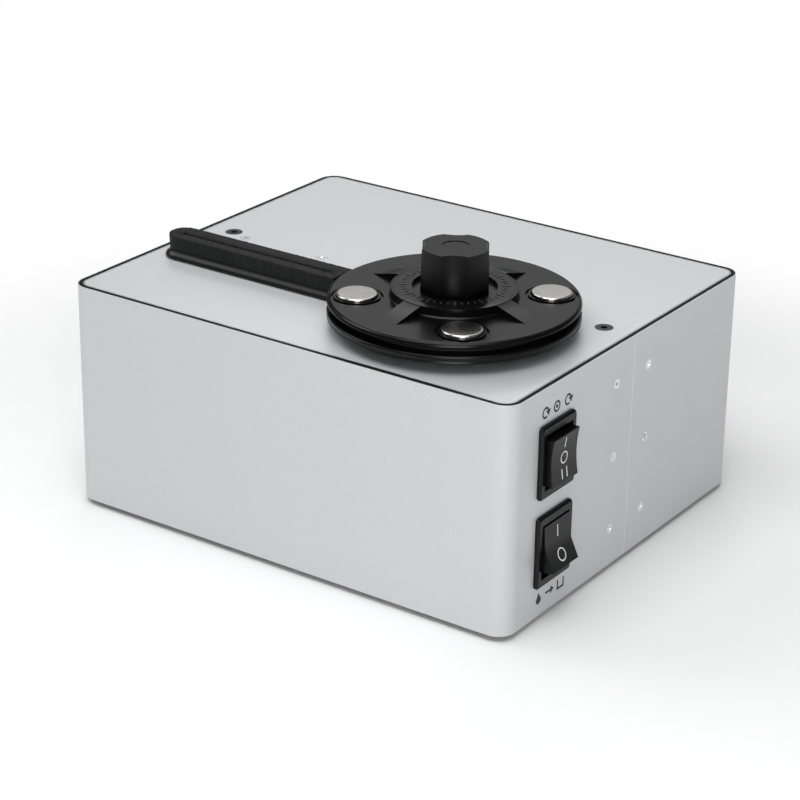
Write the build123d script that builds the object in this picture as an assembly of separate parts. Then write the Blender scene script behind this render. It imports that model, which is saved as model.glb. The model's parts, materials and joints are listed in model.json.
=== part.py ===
from build123d import *
from math import atan2, cos, hypot, radians, sin
import os

# Compact record cleaning machine. Millimetres, +Z up. The source works from the middle of the
# cabinet's plan at the height of the floor; at the end everything moves so that the origin is the
# middle of the whole machine's box. -Y is the long front face, +X the side with the switches.

# ---- Cabinet: two bent half wraps of aluminium composite, a flush deck and a recessed base
width = 250.0
depth = 210.0
panel_height = 112.0
corner_radius = 9.0
sheet = 3.0
skin = 0.4
ground_gap = 3.0
seam_gap = 0.3
plate_fit = 0.3
base_recess = 2.0
base_thickness = 3.0
screw_fit = 0.1
body_gap = 0.3
end_gap = 0.2
screw_beyond = 2.0
vent_slots = 6
vent_slot_length = 44.0
vent_slot_width = 3.0
vent_slot_pitch = 8.0

# ---- Seam brackets, rails and feet
bracket_sheet = 2.0
bracket_width = 46.0
tab_length = 16.5
tab_width = 22.0
seam_screw_offset = 14.5
seam_row_pitch = 36.75
seam_head = 5.0
seam_shank = 3.0
seam_screw_length = 6.0
rail_leg = 10.0
rail_sheet = 1.5
rail_length = 160.0
rail_screw_from_end = 16.0
rail_screw_from_wall = 6.0
foot_radius = 8.0
foot_edge = 1.0
foot_inset = 22.0
foot_cup_radius = 4.0
foot_cup_depth = 2.4
foot_screw_head = 7.0
foot_screw_head_height = 2.0
foot_screw_shank = 4.0
base_screw_head = 7.5
base_screw_shank = 4.0

# ---- Deck fasteners
deck_screw_from_side = 16.5
deck_screw_head = 8.8
deck_screw_shank = 5.0
deck_screw_socket = 3.0
deck_screw_socket_depth = 2.2
tank_screw_first = 26.8
tank_screw_pitch = 47.5
tank_screw_behind = -3.5
tank_screw_head = 5.6
tank_screw_shank = 3.0

# ---- Platter drive
platter_from_right = 72.0
platter_from_front = 63.5
shaft_radius = 5.0
running_fit = 0.05
bush_wall = 2.0
flange_radius = 40.0
flange_thickness = 3.0
flange_edge = 1.0
housing_radius = 12.0
housing_drop = 12.0
standoff_circle = 33.0
standoff_radius = 4.5
standoff_length = 32.0
standoff_engagement = 8.0
drive_screw_head = 7.5
drive_screw_shank = 4.0
pan_head_radius = 3.5
pan_head_height = 2.5
motor_plate_size = 62.0
motor_plate_thickness = 3.0
motor_plate_corner = 6.0
motor_plate_bore = 6.0
gearbox_radius = 28.0
gearbox_height = 24.0
gear_motor_radius = 25.0
gear_motor_clearance = 5.0
gear_motor_step = 1.5
gear_motor_boss_radius = 8.0
gear_motor_round = 3.0
gearbox_screw_circle = 20.0
gearbox_screw_head = 5.5
gearbox_screw_shank = 3.0
gearbox_engagement = 6.0
output_radius = 4.0
output_depth = 12.0
coupling_radius = 9.0
coupling_length = 18.0

# ---- Platter and clamp
disc_radius = 58.5
platter_lift = 5.4
platter_rim = 4.0
platter_boss_radius = 16.0
platter_lower_edge = 0.9
platter_upper_edge = 0.8
mat_hole_radius = 8.0
mat_radius = 52.0
mat_thickness = 1.5
clamp_rim = 3.0
clamp_lower_edge = 0.8
clamp_rim_round = 2.0
rim_step = 30.0
seal_inner_radius = 36.0
hub_radius = 29.5
hub_rise = 5.0
hub_bevel = 0.6
hub_bevel_width = 3.0
hub_foot = 0.6
hub_recess_radius = 19.7
hub_recess_depth = 2.0
hub_floor = 2.6
hub_core_radius = 26.0
arm_tip_radius = 45.8
arm_half_width = 5.0
arm_root = 2.0
arm_step = 0.3
arm_angle = -7.0
plug_circle = 44.6
plug_radius = 9.5
plug_rise = 1.8
plug_seat_radius = 9.8
plug_collar_radius = 10.8
plug_collar_rise = 0.4
plug_rim_radius = 12.2
plug_rim_depth = 0.9
plug_edge = 0.8
plug_seat_depth = 1.4
plug_angle = 38.0
spindle_pin_radius = 3.5
spindle_taper = 1.5
spindle_point = 1.0

# ---- Clamp knob
knob_top_radius = 16.4
knob_bottom_radius = 16.9
knob_height = 20.9
knob_cusps = 8
knob_flute_depth = 1.3
knob_land_dip = 0.6
knob_cusp_angle = 10.0
knob_crown_height = 1.1
knob_crown_inset = 0.6
knob_dish_radius = 6.4
knob_dish_depth = 0.3
knob_stem_radius = 8.0
knob_stem_end = 0.6
knob_thread_pitch = 1.5
knob_turns = 6
insert_radius = 5.6
insert_length = 17.0
insert_end_gap = 0.5
retainer_radius = 11.5
retainer_thickness = 1.4
retainer_groove = 1.0
retainer_slot = 4.0
spindle_spare = 5.0

# ---- Rocker switches
switch_from_front = 37.75
motor_switch_height = 77.0
vacuum_switch_height = 33.0
bezel_width = 29.0
bezel_height = 35.5
bezel_proud = 2.2
bezel_corner = 2.2
bezel_edge = 0.9
switch_box_width = 26.6
switch_box_height = 31.5
switch_box_depth = 20.0
switch_bay_half_height = 13.4
rocker_width = 21.6
rocker_fit = 0.35
rocker_pivot_depth = 5.0
rocker_pin_radius = 1.5
rocker_pin_length = 1.2
rocker_end_proud = 3.7
rocker_middle_proud = 2.5
rocker_shoulder = 1.5
rocker_taper = 0.5
rocker_root_depth = 3.0
rocker_root_half = 5.0
rocker_bay_below = 5.6
motor_rocker_half = 11.5
vacuum_swing = 14.0
vacuum_rocker_half = 11.2
vacuum_end_proud = 3.5
vacuum_middle_proud = 1.7
vacuum_ridge_half = 2.0
terminal_width = 6.3
terminal_thickness = 0.8
terminal_length = 8.0
terminal_column = 6.0
terminal_row = 9.0

# ---- Waste tank and hoses
tank_from_left = 9.0
tank_to_turbine = 28.0
tank_from_front = 45.0
tank_from_back = 45.0
tank_wall = 2.5
tank_corner = 7.0
tank_lid_thickness = 3.0
tank_headroom = 5.0
tank_skid = 2.3
skid_from_left = 30.0
skid_from_right = 20.0
skid_width = 4.0
skid_inset = 12.0
lid_lip_height = 3.0
lid_lip_width = 2.0
lid_boss_radius = 4.0
hose_wall = 2.4
spigot_wall = 2.0
suction_spigot_radius = 13.0
arm_spigot_radius = 9.0
drain_spigot_radius = 5.0
spigot_length = 9.0
hose_fit = 0.05
hose_end_gap = 0.5

# ---- Vacuum turbine
turbine_from_right = 117.0
turbine_from_back = 62.0
fan_headroom = 5.0
fan_radius = 39.0
fan_width = 26.0
fan_wall = 2.0
fan_gap = 4.0
turbine_spigot_length = 12.0
duct_gap = 0.5
case_shaft_gap = 1.0
impeller_radius = 34.0
impeller_blades = 9
impeller_hub_wall = 3.0
impeller_eye_radius = 12.0
impeller_shoulder_radius = 17.0
impeller_plate = 2.0
blade_height = 9.0
blade_thickness = 1.4
blade_sweep = 5.0
blade_lead = 2.0
blade_edge_gap = 0.5
turbine_shaft_radius = 4.0
turbine_shaft_start = 3.0
turbine_shaft_engagement = 26.0
turbine_motor_radius = 28.0
turbine_motor_length = 54.0
turbine_motor_edge = 3.0
end_cap_radius = 19.0
end_cap_length = 10.0
outlet_height = 20.0
cradle_width = 60.0
cradle_sheet = 2.0
cradle_from_fan = 8.0
cradle_from_end = 10.0

# ---- Rear fittings
arm_port_from_left = 63.0
arm_port_below_deck = 36.0
arm_port_bore = 10.0
arm_port_collar_radius = 14.5
arm_port_collar = 6.0
arm_port_flange_radius = 22.0
arm_port_flange = 3.0
arm_port_depth = 26.0
port_step = 2.0
fitting_edge = 0.8
fitting_corner = 3.0
mouth_edge = 1.0
port_screw_circle = 18.3
drain_from_left = 33.0
drain_z = 22.0
drain_flange = 2.0
drain_spout_radius = 6.5
drain_spout_reach = 10.0
drain_nut_radius = 10.0
drain_nut_thickness = 4.0
drain_plug_radius = 4.0
drain_plug_head = 6.3
drain_plug_head_length = 5.0
drain_plug_length = 14.0
drain_plug_lead = 1.0
inlet_from_right = 35.0
inlet_z = 38.0
inlet_flange_border = 5.0
inlet_flange_height = 34.0
inlet_flange = 3.0
inlet_body_width = 28.0
inlet_body_height = 30.0
inlet_body_depth = 22.0
inlet_cavity_width = 24.2
inlet_cavity_height = 16.6
inlet_cavity_depth = 16.5
inlet_cavity_cut = 5.0
inlet_top_wall = 2.2
inlet_pin_width = 2.0
inlet_pin_height = 4.0
inlet_pin_pitch = 7.0
inlet_pin_drop = 2.0
inlet_pin_length = 9.5
inlet_screw_pitch = 40.0
fuse_width = 22.0
fuse_height = 7.0
fuse_depth = 18.0
fuse_fit = 0.2
fuse_from_bottom = 1.6
fuse_lip = 0.8
fuse_wall = 2.0
fuse_front_wall = 4.0
fuse_floor = 1.5
grille_width = 54.0
grille_height = 40.0
grille_proud = 2.4
grille_slots = 7
grille_slot = 3.0
grille_border = 4.0
grille_slot_inset = 2.0
grille_screw_inset = 2.2
grille_screw_head = 4.0
grille_screw_shank = 2.2
rear_screw_head = 5.5
rear_screw_shank = 3.0
rear_screw_length = 9.0

# ---- Electrics
capacitor_radius = 15.0
capacitor_height = 50.0
capacitor_from_right = 27.0
capacitor_from_front = 75.0
clip_sheet = 1.5
clip_height = 8.0
board_width = 30.0
board_depth = 32.0
board_thickness = 1.6
board_lift = 6.0
board_from_right = 24.0
board_behind = 29.0
board_pillar_radius = 2.5
board_pillar_inset = 4.0
terminal_block_length = 24.0
terminal_block_width = 8.0
terminal_block_height = 9.0
terminal_block_offset = 6.0

# ---- Loose wash brush lying on the deck
brush_from_left = 8.7
brush_to_platter = 3.0
brush_width = 19.8
brush_off_centre = 0.6
brush_base_height = 4.5
brush_lip_height = 1.6
brush_shoulder_height = 2.8
brush_shoulder_inset = 1.3
brush_waist_inset = 2.4
brush_hair_height = 7.2
brush_hair_inset = 2.0
brush_parting = 1.6
brush_parting_depth = 3.2
brush_lift_gap = 0.1
brush_bottom_round = 0.7

# ---- Levels and places that follow from the sizes above
panel_top = ground_gap + panel_height
deck_under = panel_top - sheet
base_under = ground_gap + base_recess
base_top = base_under + base_thickness
inner_x = width / 2 - sheet
inner_y = depth / 2 - sheet
platter_x = width / 2 - platter_from_right
platter_y = -depth / 2 + platter_from_front
platter_under = panel_top + platter_lift
platter_top = platter_under + platter_rim
mat_top = platter_top + mat_thickness
seal_under = mat_top + body_gap
clamp_under = seal_under + mat_thickness
rim_plane = clamp_under + clamp_rim
hub_top = rim_plane + hub_rise
hub_recess_floor = hub_top - hub_recess_depth
hub_underside = hub_recess_floor - hub_floor
knob_under = hub_recess_floor + body_gap
knob_top = knob_under + knob_height
retainer_top = hub_underside - body_gap
retainer_under = retainer_top - retainer_thickness
knob_stem_under = retainer_under - knob_stem_end
spindle_shoulder = platter_top + mat_thickness / 2
spindle_engagement = knob_turns * knob_thread_pitch + spindle_spare
spindle_tip = knob_under + spindle_engagement
motor_plate_top = deck_under - standoff_length
gearbox_top = motor_plate_top - motor_plate_thickness
gearbox_under = gearbox_top - gearbox_height
gear_motor_under = base_top + gear_motor_clearance
coupling_under = motor_plate_top + body_gap
coupling_top = coupling_under + coupling_length
shaft_meeting = coupling_under + coupling_length / 2
switch_y = -depth / 2 + switch_from_front
bezel_face = width / 2 + bezel_proud
rocker_pivot_x = bezel_face - rocker_pivot_depth
motor_switch_z = ground_gap + motor_switch_height
vacuum_switch_z = ground_gap + vacuum_switch_height
tank_left = -width / 2 + tank_from_left
turbine_start = width / 2 - turbine_from_right
turbine_behind = depth / 2 - turbine_from_back
turbine_height = deck_under - fan_headroom - fan_radius
tank_right = turbine_start - tank_to_turbine
tank_front = -depth / 2 + tank_from_front
tank_back = depth / 2 - tank_from_back
tank_under = base_top + tank_skid
tank_lid_top = deck_under - tank_headroom
tank_rim = tank_lid_top - tank_lid_thickness
fan_end = turbine_start + fan_width
turbine_motor_end = fan_end + turbine_motor_length
outlet_under = turbine_height - fan_radius
grille_x = turbine_start + fan_width / 2
grille_z = outlet_under + outlet_height / 2
foot_x = width / 2 - foot_inset
foot_y = depth / 2 - foot_inset
capacitor_x = width / 2 - capacitor_from_right
capacitor_y = -depth / 2 + capacitor_from_front
board_x = width / 2 - board_from_right
arm_port_x = -width / 2 + arm_port_from_left
arm_port_z = deck_under - arm_port_below_deck
arm_port_mouth = sheet + arm_port_flange + arm_port_collar
arm_port_shoulder = arm_port_mouth - arm_port_depth
drain_x = -width / 2 + drain_from_left
inlet_x = width / 2 - inlet_from_right
inlet_flange_width = inlet_screw_pitch + 2 * inlet_flange_border
socket_z = inlet_z + inlet_body_height / 2 - inlet_cavity_height / 2 - inlet_top_wall
fuse_z = inlet_z - inlet_body_height / 2 + fuse_height / 2 + fuse_from_bottom
brush_left = -width / 2 + brush_from_left
brush_length = platter_x - disc_radius - brush_to_platter - brush_left
vacuum_tip_angle = atan2(vacuum_rocker_half, rocker_pivot_depth + vacuum_end_proud) - radians(vacuum_swing)
vacuum_tip_reach = hypot(vacuum_rocker_half, rocker_pivot_depth + vacuum_end_proud) * cos(vacuum_tip_angle)
side_reach = bezel_proud - rocker_pivot_depth + vacuum_tip_reach
rear_reach = drain_spout_reach + drain_plug_head_length
centre_shift = (-side_reach / 2, -rear_reach / 2, 0)

low = (Align.CENTER, Align.CENTER, Align.MIN)
seam_rows = [panel_top - panel_height / 2 + step * seam_row_pitch for step in (-1, 0, 1)]
standoff_angles = [45 + 90 * turn for turn in range(4)]
arm_angles = [arm_angle + 90 * turn for turn in range(4)]
plug_angles = [plug_angle + 90 * turn for turn in range(4)]
foot_places = [(side * foot_x, end * foot_y) for side in (-1, 1) for end in (-1, 1)]
rear_screw_sizes = {
    "arm_port": (rear_screw_head, rear_screw_shank, arm_port_flange),
    "inlet": (rear_screw_head, rear_screw_shank, inlet_flange),
    "grille": (grille_screw_head, grille_screw_shank, grille_proud),
}
deck_screw_xs = [-width / 2 + deck_screw_from_side, width / 2 - deck_screw_from_side]
tank_screw_xs = [-width / 2 + tank_screw_first, -width / 2 + tank_screw_first + tank_screw_pitch]


# ---- Small helpers
def rod(radius, z_low, z_high, x=0.0, y=0.0):
    return Pos(x, y, z_low) * Cylinder(radius, z_high - z_low, align=low)


def block(x_low, x_high, y_low, y_high, z_low, z_high):
    size = (x_high - x_low, y_high - y_low, z_high - z_low)
    return Pos((x_low + x_high) / 2, (y_low + y_high) / 2, z_low) * Box(*size, align=low)


def rounded_prism(x_size, y_size, radius, z_low, z_high):
    return extrude(Pos(0, 0, z_low) * RectangleRounded(x_size, y_size, radius), z_high - z_low)


def turned(*profile):
    """A solid of revolution about Z from (radius, height) points."""
    return revolve(Plane.XZ * make_face(Polyline(*profile, close=True)), Axis.Z)


def on_circle(radius, angle):
    return radius * cos(radians(angle)), radius * sin(radians(angle))


def facing_right(shape, x, y, z):
    """Turns a shape drawn along +Z so that it points along +X."""
    return Pos(x, y, z) * Rot(0, 90, 0) * shape


def facing_back(shape, x, y, z):
    """Turns a shape drawn along +Z so that it points along +Y."""
    return Pos(x, y, z) * Rot(-90, 0, 0) * shape


def flat_screw(head, shank, length):
    """A countersunk screw that points down, its head's face at zero height."""
    cone = (head - shank) / 2
    return turned((0, 0), (head / 2, 0), (shank / 2, -cone), (shank / 2, -length), (0, -length))


def flat_hole(head, shank, length):
    """The cutter for a countersunk screw, larger than the screw by screw_fit."""
    cone = (head - shank) / 2
    rim = head / 2 + screw_fit
    bore = shank / 2 + screw_fit
    return turned((0, 1), (rim, 1), (rim, 0), (bore, -cone), (bore, -length), (0, -length))


def tube(outer, inner, z_low, z_high):
    return rod(outer, z_low, z_high) - rod(inner, z_low - 1, z_high + 1)


def group(shapes):
    return Compound(children=list(shapes))


# ---- Cabinet
def seam_screw_places():
    for side in (-1, 1):
        for offset in (-seam_screw_offset, seam_screw_offset):
            for row in seam_rows:
                yield side, offset, row


def at_seam(shape, side, offset, row):
    return Pos(side * width / 2, offset, row) * Rot(0, 90 * side, 0) * shape


def wrap_cutters():
    """Every hole through the wrapped sides, as one list of solids."""
    cutters = []
    for side, offset, row in seam_screw_places():
        cutters.append(at_seam(flat_hole(seam_head, seam_shank, seam_screw_length + 1), side, offset, row))
    for height in (motor_switch_z, vacuum_switch_z):
        half_y = switch_box_width / 2 + plate_fit
        half_z = switch_box_height / 2 + plate_fit
        cutters.append(block(inner_x - 1, width / 2 + 1, switch_y - half_y, switch_y + half_y,
                             height - half_z, height + half_z))
    wall = (inner_y - 1, depth / 2 + 1)
    half_x = inlet_body_width / 2 + plate_fit
    half_z = inlet_body_height / 2 + plate_fit
    cutters.append(block(inlet_x - half_x, inlet_x + half_x, *wall, inlet_z - half_z, inlet_z + half_z))
    half_x = grille_width / 2 - grille_border + plate_fit
    half_z = grille_height / 2 - grille_border + plate_fit
    cutters.append(block(grille_x - half_x, grille_x + half_x, *wall, grille_z - half_z, grille_z + half_z))
    port_hole = rod(arm_port_bore + spigot_wall + plate_fit, 0, sheet + 2)
    cutters.append(facing_back(port_hole, arm_port_x, wall[0], arm_port_z))
    drain_hole = rod(drain_spout_radius + plate_fit, 0, sheet + 2)
    cutters.append(facing_back(drain_hole, drain_x, wall[0], drain_z))
    for fitting, (head, shank, proud) in rear_screw_sizes.items():
        hole = rod(shank / 2 + screw_fit, 0, sheet + 2)
        cutters += [facing_back(hole, x, wall[0], z) for x, z in rear_screw_places(fitting)]
    return cutters


def wrap_layer(outer_inset, inner_inset, half, cutters):
    """One layer of a half wrap: half is -1 for the front and +1 for the rear."""
    ring = rounded_prism(width - 2 * outer_inset, depth - 2 * outer_inset,
                         corner_radius - outer_inset, ground_gap, panel_top)
    ring -= rounded_prism(width - 2 * inner_inset, depth - 2 * inner_inset,
                          corner_radius - inner_inset, ground_gap - 1, panel_top + 1)
    near, far = sorted((half * seam_gap / 2, half * depth))
    ring &= block(-width, width, near, far, 0, panel_top + 1)
    return ring - cutters


def wrap(half):
    cutters = wrap_cutters()
    outer_skin = wrap_layer(0, skin, half, cutters)
    core = wrap_layer(skin, sheet - skin, half, cutters)
    inner_skin = wrap_layer(sheet - skin, sheet, half, cutters)
    return group([outer_skin, inner_skin]), core


def deck_cutters():
    cutters = [rod(housing_radius + plate_fit, deck_under - 1, panel_top + 1, platter_x, platter_y)]
    for x in deck_screw_xs:
        cutters.append(Pos(x, 0, panel_top) * flat_hole(deck_screw_head, deck_screw_shank, sheet + 1))
    for x in tank_screw_xs:
        cutters.append(Pos(x, tank_screw_behind, panel_top)
                       * flat_hole(tank_screw_head, tank_screw_shank, sheet + 1))
    for angle in standoff_angles:
        x, y = on_circle(standoff_circle, angle)
        cutters.append(rod(drive_screw_shank / 2 + screw_fit, deck_under - 1, panel_top + 1,
                           platter_x + x, platter_y + y))
    return cutters


def deck_layer(z_low, z_high):
    inset = 2 * (sheet + plate_fit)
    plate = rounded_prism(width - inset, depth - inset, corner_radius - sheet - plate_fit, z_low, z_high)
    return plate - deck_cutters()


def deck():
    skins = group([deck_layer(panel_top - skin, panel_top), deck_layer(deck_under, deck_under + skin)])
    return skins, deck_layer(deck_under + skin, panel_top - skin)


def base_screw_places():
    """Places of the screws that hold the base to the brackets and rails."""
    for x in deck_screw_xs:
        yield x, 0.0
    for side in (-1, 1):
        for end in (-1, 1):
            yield side * (rail_length / 2 - rail_screw_from_end), end * (inner_y - rail_screw_from_wall)


def base():
    inset = 2 * (sheet + plate_fit)
    plate = rounded_prism(width - inset, depth - inset, corner_radius - sheet - plate_fit,
                          base_under, base_top)
    hole = flat_hole(base_screw_head, base_screw_shank, base_thickness + 1)
    for x, y in base_screw_places():
        plate -= Pos(x, y, base_under) * Rot(180, 0, 0) * hole
    for x, y in foot_places:
        plate -= rod(foot_screw_shank / 2 + screw_fit, base_under - 1, base_top + 1, x, y)
    for step in range(vent_slots):
        y = turbine_behind + (step - (vent_slots - 1) / 2) * vent_slot_pitch
        plate -= block(turbine_start, turbine_start + vent_slot_length, y - vent_slot_width / 2,
                       y + vent_slot_width / 2, base_under - 1, base_top + 1)
    return plate


def panel_rails():
    """Four angle rails bonded to the front and rear panels: two carry the deck, two the base."""
    rails = []
    for end in (-1, 1):
        for face, up in ((deck_under, -1), (base_top, 1)):
            near, far = sorted((end * inner_y, end * (inner_y - rail_leg)))
            flat_low, flat_high = sorted((face, face + up * rail_sheet))
            wall_low, wall_high = sorted((face, face + up * rail_leg))
            back, front = sorted((end * inner_y, end * (inner_y - rail_sheet)))
            rail = block(-rail_length / 2, rail_length / 2, near, far, flat_low, flat_high)
            rail += block(-rail_length / 2, rail_length / 2, back, front, wall_low, wall_high)
            if up > 0:
                hole = rod(base_screw_shank / 2 + screw_fit, base_top - 1, base_top + rail_sheet + 1)
                for x, y in base_screw_places():
                    rail -= Pos(x, y, 0) * hole
            rails.append(rail)
    return group(rails)


def seam_bracket(side):
    inner, outer = inner_x - bracket_sheet, inner_x
    plate = block(inner, outer, -bracket_width / 2, bracket_width / 2, base_top, deck_under)
    for z_low in (base_top, deck_under - bracket_sheet):
        plate += block(inner - tab_length, outer, -tab_width / 2, tab_width / 2, z_low, z_low + bracket_sheet)
    screw_x = width / 2 - deck_screw_from_side
    plate -= rod(deck_screw_shank / 2 + screw_fit, deck_under - bracket_sheet - 1, deck_under + 1, screw_x)
    plate -= rod(base_screw_shank / 2 + screw_fit, base_top - 1, base_top + bracket_sheet + 1, screw_x)
    hole = rod(seam_shank / 2 + screw_fit, 0, bracket_sheet + 2)
    for offset in (-seam_screw_offset, seam_screw_offset):
        for row in seam_rows:
            plate -= facing_right(hole, inner - 1, offset, row)
    return plate if side > 0 else mirror(plate, about=Plane.YZ)


def seam_screws():
    screw = flat_screw(seam_head, seam_shank, seam_screw_length)
    return group(at_seam(screw, *place) for place in seam_screw_places())


def deck_screws():
    screw = flat_screw(deck_screw_head, deck_screw_shank, sheet + bracket_sheet + screw_beyond)
    socket = RegularPolygon(deck_screw_socket / 2, 6, major_radius=False)
    screw -= extrude(Pos(0, 0, -deck_screw_socket_depth) * socket, deck_screw_socket_depth + 1)
    return group(Pos(x, 0, panel_top) * screw for x in deck_screw_xs)


def tank_screws():
    screw = flat_screw(tank_screw_head, tank_screw_shank, sheet + tank_headroom)
    return group(Pos(x, tank_screw_behind, panel_top) * screw for x in tank_screw_xs)


def feet():
    shapes = []
    for x, y in foot_places:
        foot = turned((0, 0), (foot_radius - foot_edge, 0), (foot_radius, foot_edge),
                      (foot_radius, base_under), (0, base_under))
        foot -= rod(foot_cup_radius, -1, foot_cup_depth)
        foot -= rod(foot_screw_shank / 2 + screw_fit, 0, base_under + 1)
        shapes.append(Pos(x, y, 0) * foot)
    return group(shapes)


def base_screws():
    flat = flat_screw(base_screw_head, base_screw_shank, base_thickness + bracket_sheet)
    screws = [Pos(x, y, base_under) * Rot(180, 0, 0) * flat for x, y in base_screw_places()]
    head_low = foot_cup_depth - foot_screw_head_height
    pan = rod(foot_screw_head / 2, head_low, foot_cup_depth)
    pan += rod(foot_screw_shank / 2, head_low, base_top + screw_beyond)
    screws += [Pos(x, y, 0) * pan for x, y in foot_places]
    return group(screws)


# ---- Platter drive
def at_platter(shape):
    return Pos(platter_x, platter_y, 0) * shape


def bearing_flange():
    bush_radius = shaft_radius + running_fit + bush_wall
    flange_top = panel_top + flange_thickness
    body = turned((bush_radius, deck_under - housing_drop), (housing_radius, deck_under - housing_drop),
                  (housing_radius, panel_top), (flange_radius, panel_top),
                  (flange_radius, flange_top - flange_edge), (flange_radius - flange_edge, flange_top),
                  (bush_radius, flange_top))
    hole = flat_hole(drive_screw_head, drive_screw_shank, flange_thickness + 1)
    for angle in standoff_angles:
        x, y = on_circle(standoff_circle, angle)
        body -= Pos(x, y, flange_top) * hole
    return at_platter(body)


def bearing_bush():
    bush_radius = shaft_radius + running_fit + bush_wall
    return at_platter(tube(bush_radius, shaft_radius + running_fit, deck_under - housing_drop,
                           panel_top + flange_thickness))


def motor_plate():
    plate = rounded_prism(motor_plate_size, motor_plate_size, motor_plate_corner,
                          gearbox_top, motor_plate_top)
    plate -= rod(motor_plate_bore, gearbox_top - 1, motor_plate_top + 1)
    small = flat_hole(gearbox_screw_head, gearbox_screw_shank, motor_plate_thickness + 1)
    for angle in standoff_angles:
        x, y = on_circle(standoff_circle, angle)
        plate -= rod(drive_screw_shank / 2 + screw_fit, gearbox_top - 1, motor_plate_top + 1, x, y)
        x, y = on_circle(gearbox_screw_circle, angle)
        plate -= Pos(x, y, motor_plate_top) * small
    return at_platter(plate)


def motor_standoffs():
    pillars = []
    for angle in standoff_angles:
        x, y = on_circle(standoff_circle, angle)
        pillar = rod(standoff_radius, motor_plate_top, deck_under, x, y)
        pillar -= rod(drive_screw_shank / 2 + screw_fit, motor_plate_top - 1, deck_under + 1, x, y)
        pillars.append(at_platter(pillar))
    return group(pillars)


def drive_screws():
    upper = flat_screw(drive_screw_head, drive_screw_shank, flange_thickness + sheet + standoff_engagement)
    lower = rod(pan_head_radius, -pan_head_height, 0)
    lower += rod(drive_screw_shank / 2, -pan_head_height, motor_plate_thickness + standoff_engagement)
    small = flat_screw(gearbox_screw_head, gearbox_screw_shank, motor_plate_thickness + gearbox_engagement)
    screws = []
    for angle in standoff_angles:
        x, y = on_circle(standoff_circle, angle)
        screws.append(at_platter(Pos(x, y, panel_top + flange_thickness) * upper))
        screws.append(at_platter(Pos(x, y, gearbox_top) * lower))
        x, y = on_circle(gearbox_screw_circle, angle)
        screws.append(at_platter(Pos(x, y, motor_plate_top) * small))
    return group(screws)


def gearbox():
    body = rod(gearbox_radius, gearbox_under, gearbox_top)
    body -= rod(output_radius + running_fit, gearbox_top - output_depth, gearbox_top + 1)
    head_hole = rod(pan_head_radius + body_gap, gearbox_top - pan_head_height - body_gap, gearbox_top + 1)
    tapped = rod(gearbox_screw_shank / 2 + screw_fit, gearbox_top - gearbox_engagement - 1, gearbox_top + 1)
    for angle in standoff_angles:
        body -= Pos(*on_circle(standoff_circle, angle), 0) * head_hole
        body -= Pos(*on_circle(gearbox_screw_circle, angle), 0) * tapped
    return at_platter(body)


def gear_motor():
    face = gear_motor_under + gear_motor_step
    return at_platter(turned((0, face), (gear_motor_boss_radius, face),
                             (gear_motor_boss_radius, gear_motor_under),
                             (gear_motor_radius - gear_motor_round, face),
                             (gear_motor_radius, face + gear_motor_round),
                             (gear_motor_radius, gearbox_under), (0, gearbox_under)))


def output_shaft():
    return at_platter(rod(output_radius, gearbox_top - output_depth + end_gap, shaft_meeting - end_gap))


def drive_coupling():
    sleeve = rod(coupling_radius, coupling_under, coupling_top)
    sleeve -= rod(output_radius, coupling_under - 1, shaft_meeting)
    sleeve -= rod(shaft_radius, shaft_meeting, coupling_top + 1)
    return at_platter(sleeve)


def spindle():
    return at_platter(turned((0, shaft_meeting), (shaft_radius, shaft_meeting),
                             (shaft_radius, spindle_shoulder),
                             (spindle_pin_radius, spindle_shoulder + spindle_taper),
                             (spindle_pin_radius, spindle_tip - spindle_point),
                             (spindle_pin_radius - spindle_point, spindle_tip), (0, spindle_tip)))


# ---- Platter and clamp
def platter():
    boss_low = panel_top + flange_thickness + body_gap
    return at_platter(turned((shaft_radius, boss_low), (platter_boss_radius, boss_low),
                             (platter_boss_radius, platter_under),
                             (disc_radius - platter_lower_edge, platter_under),
                             (disc_radius, platter_under + platter_lower_edge),
                             (disc_radius, platter_top - platter_upper_edge),
                             (disc_radius - platter_upper_edge, platter_top), (shaft_radius, platter_top)))


def platter_mat():
    return at_platter(tube(mat_radius, mat_hole_radius, platter_top, mat_top))


def star_arm(angle):
    """One straight-sided rib that slopes from the hub's wall down to the clamp's face."""
    root = hub_radius - arm_root
    crest = hub_top - hub_bevel - arm_step
    sunk = rim_plane - 1
    side = make_face(Polyline((root, sunk), (arm_tip_radius, sunk), (arm_tip_radius, rim_plane),
                              (hub_radius, crest), (root, crest), close=True))
    return Rot(0, 0, angle) * extrude(Plane.XZ * side, arm_half_width, both=True)


def rounded_edge(radius, height, size):
    """Points round an outer edge of a turned piece, from its side to its top."""
    turns = [radians(rim_step * count) for count in range(4)]
    return [(radius - size * (1 - cos(turn)), height - size * (1 - sin(turn))) for turn in turns]


def clamp_disc():
    bore = knob_stem_radius + screw_fit
    body = turned((bore, hub_underside), (hub_core_radius, hub_underside), (hub_core_radius, clamp_under),
                  (disc_radius - clamp_lower_edge, clamp_under),
                  (disc_radius, clamp_under + clamp_lower_edge),
                  *rounded_edge(disc_radius, rim_plane, clamp_rim_round), (hub_radius + hub_foot, rim_plane),
                  (hub_radius, rim_plane + hub_foot), (hub_radius, hub_top - hub_bevel),
                  (hub_radius - hub_bevel_width, hub_top),
                  (hub_recess_radius, hub_top), (hub_recess_radius, hub_recess_floor),
                  (bore, hub_recess_floor))
    for angle in arm_angles:
        body += star_arm(angle)
    for angle in plug_angles:
        x, y = on_circle(plug_circle, angle)
        body -= rod(plug_rim_radius, rim_plane - plug_rim_depth, rim_plane + 1, x, y)
        body += rod(plug_collar_radius, rim_plane - plug_rim_depth, rim_plane + plug_collar_rise, x, y)
        body -= rod(plug_seat_radius, rim_plane - plug_seat_depth, rim_plane + 1, x, y)
    return at_platter(body)


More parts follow.
